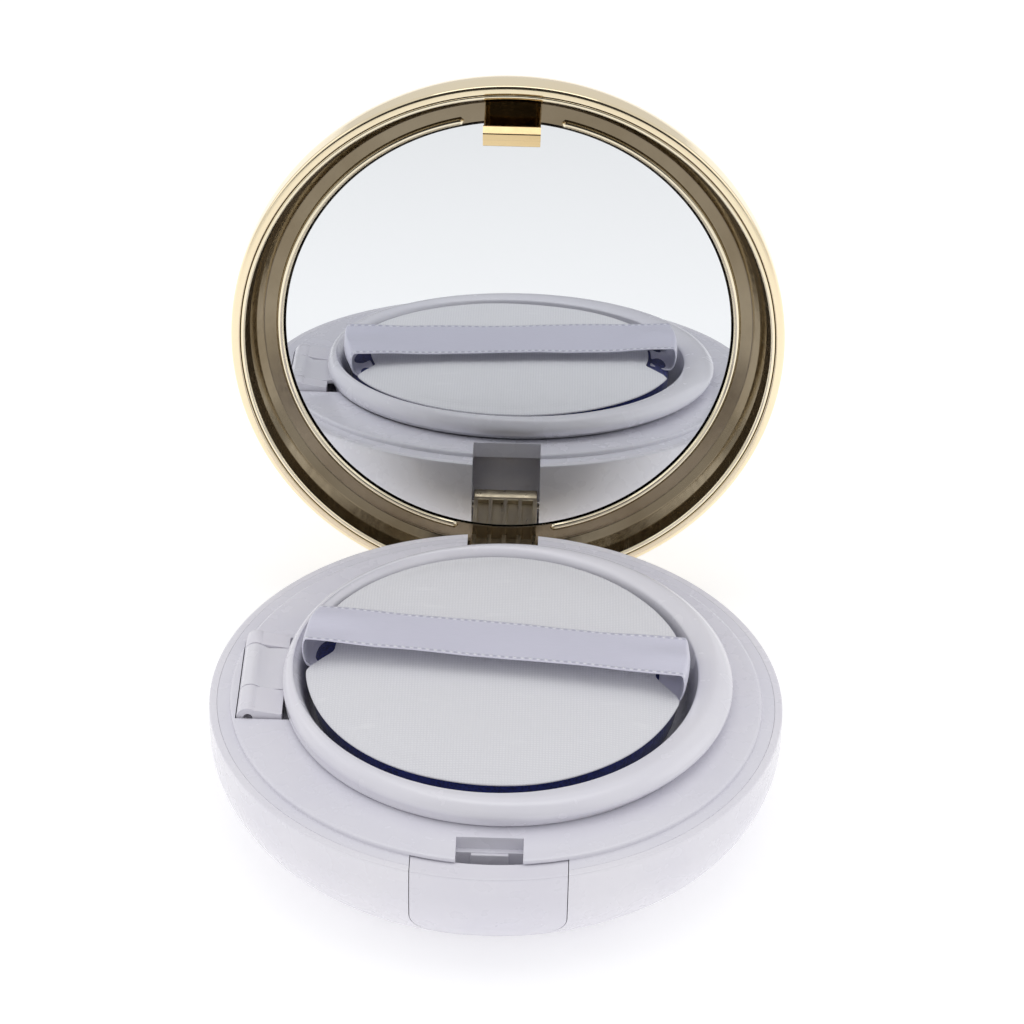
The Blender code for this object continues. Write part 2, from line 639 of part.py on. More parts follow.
inner_at = (INNER_X, (BRACKET_FRONT + BRACKET_REAR) / 2, INNER_Z)
inner_pivot = pivot("inner_lid_pivot", inner_at)
for obj in (inner_lid, inner_lid_seal):
    hang(obj, inner_pivot, inner_at)

puff_at = (DISH_X, DISH_Y, puff_low)
puff_pivot = pivot("puff_pivot", puff_at)
for obj in (puff_foam, puff_cover, puff_ribbon):
    hang(obj, puff_pivot, puff_at)

button_at = (0, -BODY_R, (BUTTON_LOW + LEDGE_Z) / 2)
button_pivot = pivot("button_pivot", button_at)
hang(release_button, button_pivot, button_at)
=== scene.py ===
"""Looks of the air-cushion powder compact: fine surfaces, cloth, materials, light and camera.

Shapes are worked out in millimetres and stored in metres. Their main sizes and places come from
the frame's boxes. The pieces of the outer lid are shaped shut and then turned open about the hinge.
"""
import json
import math

import bmesh
import bpy
from mathutils import Matrix, Vector, noise
from mathutils.bvhtree import BVHTree


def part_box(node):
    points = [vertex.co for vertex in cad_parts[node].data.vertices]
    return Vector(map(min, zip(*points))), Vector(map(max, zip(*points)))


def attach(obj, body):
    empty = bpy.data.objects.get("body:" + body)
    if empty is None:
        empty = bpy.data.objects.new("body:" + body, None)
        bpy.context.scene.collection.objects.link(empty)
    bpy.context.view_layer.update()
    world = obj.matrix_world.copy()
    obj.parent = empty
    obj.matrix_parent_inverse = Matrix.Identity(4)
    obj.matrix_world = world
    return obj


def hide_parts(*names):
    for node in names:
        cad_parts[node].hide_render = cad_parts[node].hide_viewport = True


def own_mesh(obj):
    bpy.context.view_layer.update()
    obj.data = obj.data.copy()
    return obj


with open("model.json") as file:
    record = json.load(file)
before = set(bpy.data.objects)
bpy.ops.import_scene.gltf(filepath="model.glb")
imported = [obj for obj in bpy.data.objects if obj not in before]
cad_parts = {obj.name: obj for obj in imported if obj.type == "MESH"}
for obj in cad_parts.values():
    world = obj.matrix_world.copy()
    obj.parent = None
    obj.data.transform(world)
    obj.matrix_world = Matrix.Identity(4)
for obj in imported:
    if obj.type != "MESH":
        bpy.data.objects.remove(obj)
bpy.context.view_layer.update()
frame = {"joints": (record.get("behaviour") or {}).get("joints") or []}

MM = 0.001
FINE = 224             # steps round a turned piece

# ---- sizes read from the frame, in millimetres -------------------------------------------


def box_mm(node):
    low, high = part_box(node)
    return Vector(low) / MM, Vector(high) / MM


def middle(node):
    low, high = box_mm(node)
    return (low + high) / 2


LEDGE_WIDTH = 2.95     # from the edge of the plateau to the outside
PUFF_SWELL = 0.85      # the CAD foam has its height under the shut lid, and this is what it gains
PUFF_GAP = 1.2         # between the CAD foam and the mouth of the recess
DISH_RIM = 4.6         # from the recess to the outer edge of the inner lid
LIP_GAP = 0.35         # between the shut lid and the ledge
MIRROR_DEPTH = 5.45    # mirror behind the lip plane
NOTCH_GAP = 0.35       # either side of the hinge arm
HOOK_INSET = 4.6       # front of the hook from the outside of the body
SLOT_DEPTH = 3.5       # front of the hook to the back of the slot
BODY_R = box_mm("base_shell")[1].x
LEDGE_Z = box_mm("base_shell")[1].z
PLATEAU_Z = box_mm("base_frame")[1].z
SEAM_GAP = 0.15
SEAM_R = box_mm("base_frame")[1].x + SEAM_GAP
PLATEAU_R = BODY_R - LEDGE_WIDTH
CORNER_R = 13.0
FOOT_R = BODY_R - CORNER_R
WALL = 1.8
BUTTON_HALF = box_mm("release_button")[1].x
BUTTON_LOW = box_mm("release_button")[0].z
HINGE_Y = middle("lid_hinge_pin").y
HINGE_Z = middle("lid_hinge_pin").z
PIN_R = (box_mm("lid_hinge_pin")[1].z - box_mm("lid_hinge_pin")[0].z) / 2
MIRROR_R = box_mm("mirror")[1].x
DISH_X = middle("puff_foam").x
DISH_Y = middle("puff_foam").y
PUFF_R = box_mm("puff_foam")[1].x - DISH_X
PUFF_X = DISH_X - 0.35     # the puff lies a little off the middle of its recess
PUFF_Y = DISH_Y + 0.4
PUFF_LOW = box_mm("puff_foam")[0].z
PUFF_TOP = box_mm("puff_foam")[1].z + PUFF_SWELL
DISH_R = PUFF_R + PUFF_GAP
CREST_R = DISH_R + DISH_RIM
INNER_X = middle("inner_lid_pin").x
INNER_Z = middle("inner_lid_pin").z
SMALL_PIN_R = (box_mm("inner_lid_pin")[1].z - box_mm("inner_lid_pin")[0].z) / 2
BRACKET_FRONT = box_mm("inner_lid_pin")[0].y - 1.6
BRACKET_REAR = box_mm("inner_lid_pin")[1].y + 1.3
CUP_FLOOR = box_mm("refill_cup")[0].z
LID_R = box_mm("lid_shell")[1].x
LIP_Z = LEDGE_Z + LIP_GAP
LID_HEIGHT = 11.8
TOP_Z = LIP_Z + LID_HEIGHT
MIRROR_Z = LIP_Z + MIRROR_DEPTH
KNUCKLE_R = 1.65
SLOT_HALF = 4.6
HOOK_HALF = 4.15
ARM_HALF = 5.0
NOTCH_HALF = ARM_HALF + NOTCH_GAP
HOOK_FRONT = HOOK_INSET - BODY_R
SLOT_BACK = HOOK_FRONT + SLOT_DEPTH
FAR = BODY_R + 6.0

lid_joint = next(j for j in frame["joints"] if j["name"] == "lid_hinge")
OPEN_ANGLE = max(abs(a) for a in lid_joint["range_deg"])
hinge_place = Matrix.Translation((0, HINGE_Y, HINGE_Z))
LID_OPEN = hinge_place @ Matrix.Rotation(math.radians(-OPEN_ANGLE), 4, "X") @ hinge_place.inverted()


# ---- shaping helpers ---------------------------------------------------------------------
def finish(name, bm, smooth=True, angle=35.0):
    """Turn a bmesh in millimetres into a named object in metres."""
    bmesh.ops.recalc_face_normals(bm, faces=bm.faces)
    bmesh.ops.scale(bm, vec=(MM, MM, MM), verts=bm.verts)
    mesh = bpy.data.meshes.new(name)
    bm.to_mesh(mesh)
    bm.free()
    obj = bpy.data.objects.new(name, mesh)
    bpy.context.scene.collection.objects.link(obj)
    if smooth:
        mesh.shade_smooth()
        mesh.set_sharp_from_angle(angle=math.radians(angle))
    return obj


def turn_between(before, after):
    """How far a chain turns at a point, in degrees, from its steps back and on."""
    cosine = -before.dot(after) / (before.length * after.length)
    return math.degrees(math.acos(min(max(cosine, -1.0), 1.0)))


def softened(points, size, steps=4, closed=False, least=12.0):
    """Round each corner of a chain of points (of any dimension) that turns by more than `least` degrees."""
    n = len(points)
    out = []
    for i, here in enumerate(points):
        if not closed and i in (0, n - 1):
            out.append(tuple(here))
            continue
        here = Vector(here)
        before = Vector(points[i - 1]) - here
        after = Vector(points[(i + 1) % n]) - here
        if before.length < 1e-6 or after.length < 1e-6 or turn_between(before, after) < least:
            out.append(tuple(here))
            continue
        a = here + before * min(size / before.length, 0.45)
        b = here + after * min(size / after.length, 0.45)
        for k in range(steps + 1):
            t = k / steps
            out.append(tuple(a * (1 - t) ** 2 + here * (2 * t * (1 - t)) + b * t ** 2))
    return out


def loft(name, rings, closed=False, steps=FINE):
    """Join circles (centre x, centre y, radius, z) into one skin; radius 0 is a pole."""
    bm = bmesh.new()
    loops = []
    for cx, cy, radius, z in rings:
        if radius < 1e-6:
            loops.append([bm.verts.new((cx, cy, z))])
            continue
        turn = [2 * math.pi * i / steps for i in range(steps)]
        loops.append([bm.verts.new((cx + radius * math.cos(a), cy + radius * math.sin(a), z)) for a in turn])
    pairs = list(zip(loops, loops[1:]))
    if closed:
        pairs.append((loops[-1], loops[0]))
    for one, two in pairs:
        for i in range(steps):
            j = (i + 1) % steps
            if len(one) == 1:
                bm.faces.new((one[0], two[i], two[j]))
            elif len(two) == 1:
                bm.faces.new((one[i], two[0], one[j]))
            else:
                bm.faces.new((one[i], two[i], two[j], one[j]))
    return finish(name, bm)


def turned(name, profile, closed=False, centre=(0.0, 0.0), soft=0.18):
    """A turned piece from (radius, z) points, with its corners eased."""
    rings = [(centre[0], centre[1], r, z) for r, z in profile]
    return loft(name, softened(rings, soft, closed=closed), closed)


def arc(cx, cz, radius, start, end, steps):
    """Points of an arc in the (radius, z) plane, angles in degrees from the outward direction."""
    turn = [math.radians(start + (end - start) * i / steps) for i in range(steps + 1)]
    return [(cx + radius * math.cos(a), cz + radius * math.sin(a)) for a in turn]


def block(name, low, high, edge=0.0):
    """A box between two corners, with rounded edges if asked."""
    bm = bmesh.new()
    bmesh.ops.create_cube(bm, size=1.0)
    low = Vector(low)
    high = Vector(high)
    bmesh.ops.scale(bm, vec=high - low, verts=bm.verts)
    bmesh.ops.translate(bm, vec=(low + high) / 2, verts=bm.verts)
    if edge:
        bmesh.ops.bevel(bm, geom=bm.edges[:], offset=edge, segments=3, profile=0.5, affect="EDGES")
    return finish(name, bm, smooth=edge > 0)


def rod(name, start, end, radius, sides=48, edge=0.0):
    """A round bar between two points."""
    start = Vector(start)
    end = Vector(end)
    along = end - start
    bm = bmesh.new()
    bmesh.ops.create_cone(bm, cap_ends=True, segments=sides, radius1=radius, radius2=radius,
                          depth=along.length)
    if edge:
        rim = [e for e in bm.edges if abs(e.verts[0].co.z - e.verts[1].co.z) < 1e-6]
        bmesh.ops.bevel(bm, geom=rim, offset=edge, segments=3, profile=0.5, affect="EDGES")
    turn = Vector((0, 0, 1)).rotation_difference(along.normalized()).to_matrix().to_4x4()
    bmesh.ops.transform(bm, matrix=Matrix.Translation((start + end) / 2) @ turn, verts=bm.verts)
    return finish(name, bm)


def prism(name, outline, axis, low, high, soft=0.0, edge=0.0):
    """A flat outline swept along X (outline in y, z) or Y (outline in x, z)."""
    if soft:
        outline = softened(outline, soft, closed=True)
    bm = bmesh.new()
    if axis == "X":
        verts = [bm.verts.new((low, a, b)) for a, b in outline]
        along = Vector((high - low, 0, 0))
    else:
        verts = [bm.verts.new((a, low, b)) for a, b in outline]
        along = Vector((0, high - low, 0))
    face = bm.faces.new(verts)
    swept = bmesh.ops.extrude_face_region(bm, geom=[face], use_keep_orig=True)
    moved = [v for v in swept["geom"] if isinstance(v, bmesh.types.BMVert)]
    bmesh.ops.translate(bm, vec=along, verts=moved)
    if edge:
        rims = [e for e in bm.edges if abs((e.verts[0].co - e.verts[1].co).dot(along)) < 1e-6]
        bmesh.ops.bevel(bm, geom=rims, offset=edge, segments=2, profile=0.5, affect="EDGES")
    return finish(name, bm)


def combine(obj, tool, operation):
    """Apply one exact boolean and drop the tool."""
    step = obj.modifiers.new(operation.lower(), "BOOLEAN")
    step.operation = operation
    step.solver = "EXACT"
    step.object = tool
    with bpy.context.temp_override(object=obj, active_object=obj, selected_objects=[obj]):
        bpy.ops.object.modifier_apply(modifier=step.name)
    bpy.data.objects.remove(tool, do_unlink=True)
    obj.data.shade_smooth()
    obj.data.set_sharp_from_angle(angle=math.radians(35))
    return obj


def cut(obj, tool):
    return combine(obj, tool, "DIFFERENCE")


def join(obj, tool):
    return combine(obj, tool, "UNION")


def settle(obj, body, nodes=(), mats=(), even=True, opened=False):
    """Give a finished piece its material, its body and the CAD nodes it stands for."""
    if opened:
        metres = Matrix.Scale(MM, 4)
        obj.data.transform(metres @ LID_OPEN @ metres.inverted())
    for mat in mats:
        obj.data.materials.append(mat)
    if even:
        normals = obj.modifiers.new("even normals", "WEIGHTED_NORMAL")
        normals.keep_sharp = True
    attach(obj, body)
    if nodes:
        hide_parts(*nodes)
    return obj


# ---- materials ---------------------------------------------------------------------------
class Finish:
    """A Principled material with helpers for its texture nodes; lengths are in metres."""

    def __init__(self, name, colour, roughness, metallic=0.0, **extra):
        self.mat = bpy.data.materials.new(name)
        self.mat.use_nodes = True
        self.tree = self.mat.node_tree
        self.shader = self.tree.nodes["Principled BSDF"]
        self.colour = colour
        self.shader.inputs["Base Color"].default_value = (*colour, 1.0)
        self.shader.inputs["Roughness"].default_value = roughness
        self.shader.inputs["Metallic"].default_value = metallic
        for key, value in extra.items():
            self.shader.inputs[key.replace("_", " ")].default_value = value
        self.mat.diffuse_color = (*colour, 1.0)
        self.coords = self.tree.nodes.new("ShaderNodeTexCoord")
        self.height = None

    def link(self, a, b):
        self.tree.links.new(a, b)

    def node(self, kind, **values):
        made = self.tree.nodes.new("ShaderNode" + kind)
        for key, value in values.items():
            if hasattr(made, key):
                setattr(made, key, value)
            else:
                made.inputs[key.replace("_", " ")].default_value = value
        return made

    def noise(self, size, detail=3.0, coords="Object", stretch=None):
        """Noise with features of about `size` metres."""
        tex = self.node("TexNoise", Scale=1.0 / size, Detail=detail)
        source = self.coords.outputs[coords]
        if stretch:
            mapping = self.node("Mapping")
            mapping.inputs["Scale"].default_value = stretch
            self.link(source, mapping.inputs["Vector"])
            source = mapping.outputs["Vector"]
        self.link(source, tex.inputs["Vector"])
        return tex.outputs["Fac"]

    def ramp(self, value, low, high, to_low=0.0, to_high=1.0):
        tool = self.node("MapRange", From_Min=low, From_Max=high, To_Min=to_low, To_Max=to_high)
        self.link(value, tool.inputs["Value"])
        return tool.outputs["Result"]

    def maths(self, kind, a, b):
        tool = self.node("Math", operation=kind)
        for slot, value in ((0, a), (1, b)):
            if isinstance(value, (int, float)):
                tool.inputs[slot].default_value = value
            else:
                self.link(value, tool.inputs[slot])
        return tool.outputs["Value"]

    def tint(self, factor, colour):
        """Blend the base colour towards another one where the factor is 1."""
        mix = self.node("Mix", data_type="RGBA")
        self.link(factor, mix.inputs[0])
        linked = self.shader.inputs["Base Color"].links
        if linked:
            self.link(linked[0].from_socket, mix.inputs[6])
        else:
            mix.inputs[6].default_value = (*self.colour, 1.0)
        mix.inputs[7].default_value = (*colour, 1.0)
        self.link(mix.outputs[2], self.shader.inputs["Base Color"])

    def rough(self, value, low, high):
        self.link(self.ramp(value, 0.3, 0.7, low, high), self.shader.inputs["Roughness"])

    def bump(self, value, depth, strength=1.0):
        """Stack one more layer of relief, `depth` metres high."""
        tool = self.node("Bump", Distance=depth, Strength=strength)
        self.link(value, tool.inputs["Height"])
        if self.height:
            self.link(self.height, tool.inputs["Normal"])
        self.height = tool.outputs["Normal"]
        self.link(self.height, self.shader.inputs["Normal"])

    def specks(self, cell, radius, colour, share):
        """Sparse dust specks: dots of `radius` metres in a share of the cells."""
        dots = self.node("TexVoronoi", Scale=1.0 / cell)
        self.link(self.coords.outputs["Object"], dots.inputs["Vector"])
        near = self.ramp(dots.outputs["Distance"], radius / cell, 0.6 * radius / cell, 0.0, 1.0)
        pick = self.node("SeparateColor")
        self.link(dots.outputs["Color"], pick.inputs[0])
        chosen = self.maths("GREATER_THAN", pick.outputs[0], 1.0 - share)
        self.tint(self.maths("MULTIPLY", near, chosen), colour)


def gloss_plastic(name, colour, roughness=0.26):
    """Moulded glossy white plastic: faint clouding, moulding ripple and a little dust."""
    made = Finish(name, colour, roughness, Coat_Weight=0.25, Coat_Roughness=0.12, IOR=1.5)
    cloud = made.noise(0.012, 4.0)
    made.tint(made.ramp(cloud, 0.35, 0.75), tuple(c * f for c, f in zip(colour, (0.955, 0.955, 0.975))))
    made.specks(0.0065, 0.00011, (0.33, 0.31, 0.33), 0.16)
    made.rough(made.noise(0.004, 3.0), roughness - 0.05, roughness + 0.08)
    made.bump(made.noise(0.009, 2.0), 0.000008)
    made.bump(made.noise(0.0006, 2.0), 0.0000025)
    return made.mat


def metallised(name, colour, deep, roughness):
    """Vacuum-metallised plastic: slightly uneven tone, hairlines and dust."""
    made = Finish(name, colour, roughness, 1.0)
    made.tint(made.ramp(made.noise(0.018, 3.0), 0.35, 0.8), deep)
    made.specks(0.005, 0.00009, (0.85, 0.80, 0.70), 0.10)
    streak = made.noise(0.0009, 4.0, stretch=(1.0, 0.12, 1.0))
    made.rough(streak, roughness * 0.75, roughness * 1.5)
    made.bump(made.noise(0.006, 2.0), 0.00002)
    made.bump(streak, 0.0000008)
    return made.mat


def mirror_silver():
    made = Finish("mirror_silver", (0.865, 0.885, 0.90), 0.006, 1.0)
    made.specks(0.009, 0.00008, (0.55, 0.56, 0.60), 0.12)
    made.rough(made.noise(0.03, 4.0), 0.003, 0.012)
    return made.mat


def dark_edge():
    made = Finish("mirror_cut_edge", (0.012, 0.011, 0.012), 0.22, Coat_Weight=0.4)
    made.tint(made.ramp(made.noise(0.0012, 4.0), 0.5, 0.75), (0.10, 0.09, 0.08))
    made.bump(made.noise(0.0004, 3.0), 0.00004)
    return made.mat


def steel():
    made = Finish("hinge_steel", (0.46, 0.44, 0.42), 0.28, 1.0)
    drawn = made.noise(0.0006, 4.0, stretch=(0.08, 1.0, 1.0))
    made.rough(drawn, 0.2, 0.42)
    made.tint(made.ramp(drawn, 0.4, 0.8), (0.33, 0.31, 0.30))
    made.bump(drawn, 0.000004)
    return made.mat


def soft_foam(name, colour, deep, cell, depth):
    """Open-cell foam: pores of about `cell` metres, their pits tinted towards `deep` as painted shade."""
    made = Finish(name, colour, 0.92, Sheen_Weight=0.25, Sheen_Roughness=0.5)
    pores = made.node("TexVoronoi", Scale=1.0 / cell, feature="SMOOTH_F1")
    made.link(made.coords.outputs["Object"], pores.inputs["Vector"])
    # Painted shade: the pits of the pores are tinted towards the deep colour.
    made.tint(made.ramp(pores.outputs["Distance"], 0.55, 0.15), deep)
    made.tint(made.ramp(made.noise(0.004, 3.0), 0.5, 0.9), tuple(1.25 * c for c in colour))
    made.bump(pores.outputs["Distance"], depth)
    made.bump(made.noise(cell * 0.5, 3.0), depth * 0.4)
    return made.mat


def woven_face():
    """Close plain weave: threads along X and Y, a slub here and there; the dips between threads are tinted
    darker as painted shade.
    """
    made = Finish("puff_woven_face", (0.80, 0.80, 0.83), 0.78, Sheen_Weight=0.18, Sheen_Roughness=0.45)
    threads = []
    for axis in ("X", "Y"):
        wave = made.node("TexWave", wave_type="BANDS", bands_direction=axis, Scale=740.0,
                         Distortion=0.35, Detail=1.0)
        wave.inputs["Detail Scale"].default_value = 2.5
        made.link(made.coords.outputs["Object"], wave.inputs["Vector"])
        threads.append(wave.outputs["Fac"])
    weave = made.maths("MULTIPLY", threads[0], threads[1])
    # Painted shade: darker where the weave dips between threads.
    made.tint(made.ramp(weave, 0.55, 0.0), (0.73, 0.73, 0.765))
    slub = made.noise(0.0022, 4.0, stretch=(0.35, 1.0, 1.0))
    made.tint(made.ramp(slub, 0.62, 0.78, 0.0, 0.5), (0.86, 0.86, 0.885))
    made.tint(made.ramp(made.noise(0.011, 3.0), 0.45, 0.8, 0.0, 0.8), (0.76, 0.76, 0.79))
    made.specks(0.007, 0.0001, (0.42, 0.41, 0.42), 0.14)
    made.bump(weave, 0.00003)
    made.bump(slub, 0.00003)
    return made.mat


def satin():
    """Satin ribbon: long floats along its length, with a picot row near each edge (UV: along, across); the
    picot loops are tinted lighter as painted highlight and the gaps between them darker as painted shade.
    """
    made = Finish("ribbon_satin", (0.66, 0.655, 0.765), 0.38, Sheen_Weight=0.35, Sheen_Roughness=0.3,
                  Coat_Weight=0.12, Coat_Roughness=0.3)
    floats = made.noise(0.05, 3.0, coords="UV", stretch=(1.4, 26.0, 1.0))
    made.tint(made.ramp(floats, 0.4, 0.75), (0.72, 0.715, 0.83))
    split = made.node("SeparateXYZ")
    made.link(made.coords.outputs["UV"], split.inputs[0])
    along = split.outputs["X"]
    across = split.outputs["Y"]
    from_middle = made.maths("ABSOLUTE", made.maths("SUBTRACT", across, 0.5), 0.0)
    band = made.ramp(made.maths("ABSOLUTE", made.maths("SUBTRACT", from_middle, 0.452), 0.0), 0.030, 0.016)
    beat = made.maths("SINE", made.maths("MULTIPLY", along, 2 * math.pi * 62), 0.0)
    loops = made.maths("MULTIPLY", band, made.ramp(beat, 0.1, 0.6))
    painted_gap_shade = made.maths("MULTIPLY", band, made.ramp(beat, -0.1, -0.6))
    # Painted highlight on the raised picot loops and painted shade in the gaps between them.
    made.tint(made.maths("MULTIPLY", loops, 0.85), (0.86, 0.86, 0.94))
    made.tint(made.maths("MULTIPLY", painted_gap_shade, 0.55), (0.40, 0.40, 0.50))
    made.rough(floats, 0.30, 0.48)
    made.bump(loops, 0.00009)
    made.bump(floats, 0.000012)
    return made.mat


def sticky_tape():
    made = Finish("mounting_tape", (0.34, 0.34, 0.36), 0.75)
    made.tint(made.ramp(made.noise(0.003, 4.0), 0.4, 0.7), (0.42, 0.42, 0.44))
    made.bump(made.noise(0.0004, 3.0), 0.00003)
    return made.mat


def silicone():
    made = Finish("seal_silicone", (0.70, 0.70, 0.73), 0.48, Subsurface_Weight=0.15)
    made.shader.inputs["Subsurface Radius"].default_value = (0.002, 0.002, 0.002)
    made.tint(made.ramp(made.noise(0.004, 3.0), 0.4, 0.7), (0.62, 0.62, 0.66))
    made.bump(made.noise(0.0007, 3.0), 0.00001)
    return made.mat


shell_white = gloss_plastic("base_shell_white", (0.83, 0.815, 0.865))
frame_white = gloss_plastic("base_frame_white", (0.79, 0.78, 0.84), 0.24)
button_white = gloss_plastic("button_white", (0.79, 0.775, 0.835), 0.3)
cup_white = gloss_plastic("refill_white", (0.80, 0.785, 0.84), 0.3)
lid_white = gloss_plastic("inner_lid_white", (0.81, 0.80, 0.85), 0.22)
pin_white = gloss_plastic("inner_pin_plastic", (0.50, 0.47, 0.46), 0.4)
gold_outer = metallised("lid_shell_gold", (1.0, 0.87, 0.61), (0.98, 0.83, 0.57), 0.10)
# The ridge gold is paler than the shell gold as a painted highlight; its lower roughness is a real polish.
gold_ridge_painted_highlight = metallised("ridge_gold_painted_highlight", (1.0, 0.90, 0.68), (0.97, 0.86, 0.62), 0.07)
# The liner's wall and floor golds are darkened copies of the gold: painted shade inside the lid, darkest on
# the wall.
gold_wall_painted_shade = metallised("liner_wall_gold_painted_shade", (0.17, 0.13, 0.075), (0.10, 0.075, 0.042), 0.2)
gold_floor_painted_shade = metallised("liner_floor_gold_painted_shade", (0.29, 0.24, 0.165), (0.20, 0.155, 0.095), 0.14)
gold_hook = metallised("hook_gold", (0.86, 0.66, 0.36), (0.72, 0.50, 0.24), 0.13)
gold_arm = metallised("arm_gold", (0.66, 0.57, 0.42), (0.54, 0.46, 0.33), 0.34)

# ---- base --------------------------------------------------------------------------------
profile = [(0, WALL), (FOOT_R - 1.0, WALL)]
profile += arc(FOOT_R, CORNER_R, CORNER_R - WALL, -82, 0, 16)
profile += [
    (BODY_R - WALL, LEDGE_Z - 1.95),
    (SEAM_R, LEDGE_Z - 1.95),
    (SEAM_R, LEDGE_Z - 0.06),
    (SEAM_R, LEDGE_Z),
    (SEAM_R + 0.06, LEDGE_Z),
    (BODY_R - 0.02, LEDGE_Z),
    (BODY_R, LEDGE_Z - 0.5),
]
profile += arc(FOOT_R, CORNER_R, CORNER_R, 0, -90, 36)
profile += [(0, 0)]
base_shell = turned("base_bowl", profile, soft=0.3)
for side in (-1, 1):
    x0, x1 = sorted((side * (NOTCH_HALF - 0.2), side * (NOTCH_HALF + 2.9)))
    join(base_shell, block("cheek", (x0, HINGE_Y - 2.6, HINGE_Z - 2.1), (x1, HINGE_Y + 0.8, HINGE_Z + 2.3)))
cut(base_shell, block("notch", (-NOTCH_HALF, HINGE_Y - 4.4, HINGE_Z - 4.0), (NOTCH_HALF, FAR, 30)))
cut(base_shell, rod("bore", (-NOTCH_HALF - 2.4, HINGE_Y, HINGE_Z), (NOTCH_HALF + 2.4, HINGE_Y, HINGE_Z),
                    PIN_R + 0.07))


BUTTON_GAP = 0.11
BUTTON_BACK = 14.0     # how far in from the outside the button's outline is cut


def button_outline(grow):
    """Front outline of the button in x, z, with rounded lower corners."""
    half = BUTTON_HALF + grow
    low = BUTTON_LOW - grow
    corner = 4.6 + grow
    points = [(-half, 20.0), (half, 20.0)]
    points += arc(half - corner, low + corner, corner, 0, -90, 16)
    points += arc(corner - half, low + corner, corner, -90, -180, 16)
    return points


cut(base_shell, prism("button_gap", button_outline(BUTTON_GAP), "Y", -FAR, BUTTON_BACK - BODY_R))
settle(base_shell, "base", ["base_shell"], [shell_white])

thick = 1.4
profile = [
    (PLATEAU_R - 0.45, LEDGE_Z - 1.4),
    (PLATEAU_R - 0.45, LEDGE_Z),
    (BODY_R - 0.02, LEDGE_Z),
    (BODY_R, LEDGE_Z - 0.5),
]
profile += arc(FOOT_R, CORNER_R, CORNER_R, 0, -62, 26)
profile += arc(FOOT_R, CORNER_R, CORNER_R - thick, -62, 0, 20)
profile += [(BODY_R - thick, LEDGE_Z - 1.4)]
release_button = turned("push_button", profile, closed=True, soft=0.3)
combine(release_button,
        prism("button_block", button_outline(0.0), "Y", -FAR, BUTTON_BACK - BODY_R), "INTERSECT")
join(release_button, block("tongue", (-2.7, -BODY_R + 1.0, 11.3), (2.7, -BODY_R + 2.55, 13.2), 0.2))
settle(release_button, "button", ["release_button"], [button_white])

# ---- frame -------------------------------------------------------------------------------
plate_z = PLATEAU_Z - 2.4
hole_r = DISH_R + 1.9
rings = [
    (0, 0, PLATEAU_R - 0.25, PLATEAU_Z),
    (0, 0, PLATEAU_R, PLATEAU_Z - 0.25),
    (0, 0, PLATEAU_R, LEDGE_Z + 0.06),
    (0, 0, PLATEAU_R + 0.06, LEDGE_Z),
    (0, 0, SEAM_R - 0.09, LEDGE_Z),
    (0, 0, SEAM_R - 0.03, LEDGE_Z),
    (0, 0, SEAM_R - 0.03, LEDGE_Z - 0.06),
    (0, 0, SEAM_R - 0.02, plate_z),
    (DISH_X, DISH_Y, hole_r, plate_z),
    (DISH_X, DISH_Y, hole_r, PLATEAU_Z - 1.5),
    (DISH_X + 0.3, DISH_Y - 0.3, hole_r + 0.6, PLATEAU_Z - 1.5),
    (DISH_X + 0.3, DISH_Y - 0.3, hole_r + 0.6, PLATEAU_Z),
]
base_frame = loft("top_frame", softened(rings, 0.28, closed=True), closed=True)
join(base_frame, block("well", (-SLOT_HALF - 1.2, HOOK_FRONT - 1.5, 10.6),
                       (SLOT_HALF + 1.2, SLOT_BACK + 1.2, plate_z + 0.6)))
room_back = 1.91 - math.sqrt(PLATEAU_R ** 2 - BUTTON_HALF ** 2)
cut(base_frame, block("room", (-BUTTON_HALF - BUTTON_GAP, -FAR, plate_z - 0.2),
                      (BUTTON_HALF + BUTTON_GAP, room_back, PLATEAU_Z - 0.5)))
cut(base_frame, block("slot_top", (-SLOT_HALF, -FAR, 15.6), (SLOT_HALF, SLOT_BACK, 19)))
cut(base_frame, block("slot_low", (-SLOT_HALF, HOOK_FRONT - 0.35, 9), (SLOT_HALF, SLOT_BACK - 0.8, 16)))
cut(base_frame, block("slot_front", (-3.0, -FAR, 9.2), (3.0, HOOK_FRONT, 15.8)))
cut(base_frame, block("slot_under", (-SLOT_HALF, -FAR - 1, 8.8), (SLOT_HALF, HOOK_FRONT - 0.2, 13.7)))
join(base_frame, block("boss", (-2.6, SLOT_BACK - 1.25, 11.6), (2.6, SLOT_BACK - 0.6, 15.5), 0.15))
cut(base_frame, block("arm_notch", (-NOTCH_HALF, HINGE_Y - 4.4, 10), (NOTCH_HALF, FAR, 30)))
cut(base_frame, block("side_notch", (INNER_X - 1.8, BRACKET_FRONT - 0.3, 10),
                      (INNER_X + 8.0, BRACKET_REAR + 0.3, 30)))
settle(base_frame, "base", ["base_frame"], [frame_white])

lid_pin = rod("hinge_pin", (-NOTCH_HALF - 2.2, HINGE_Y, HINGE_Z), (NOTCH_HALF + 2.2, HINGE_Y, HINGE_Z),
              PIN_R, 64, 0.15)
settle(lid_pin, "base", ["lid_hinge_pin"], [steel()])

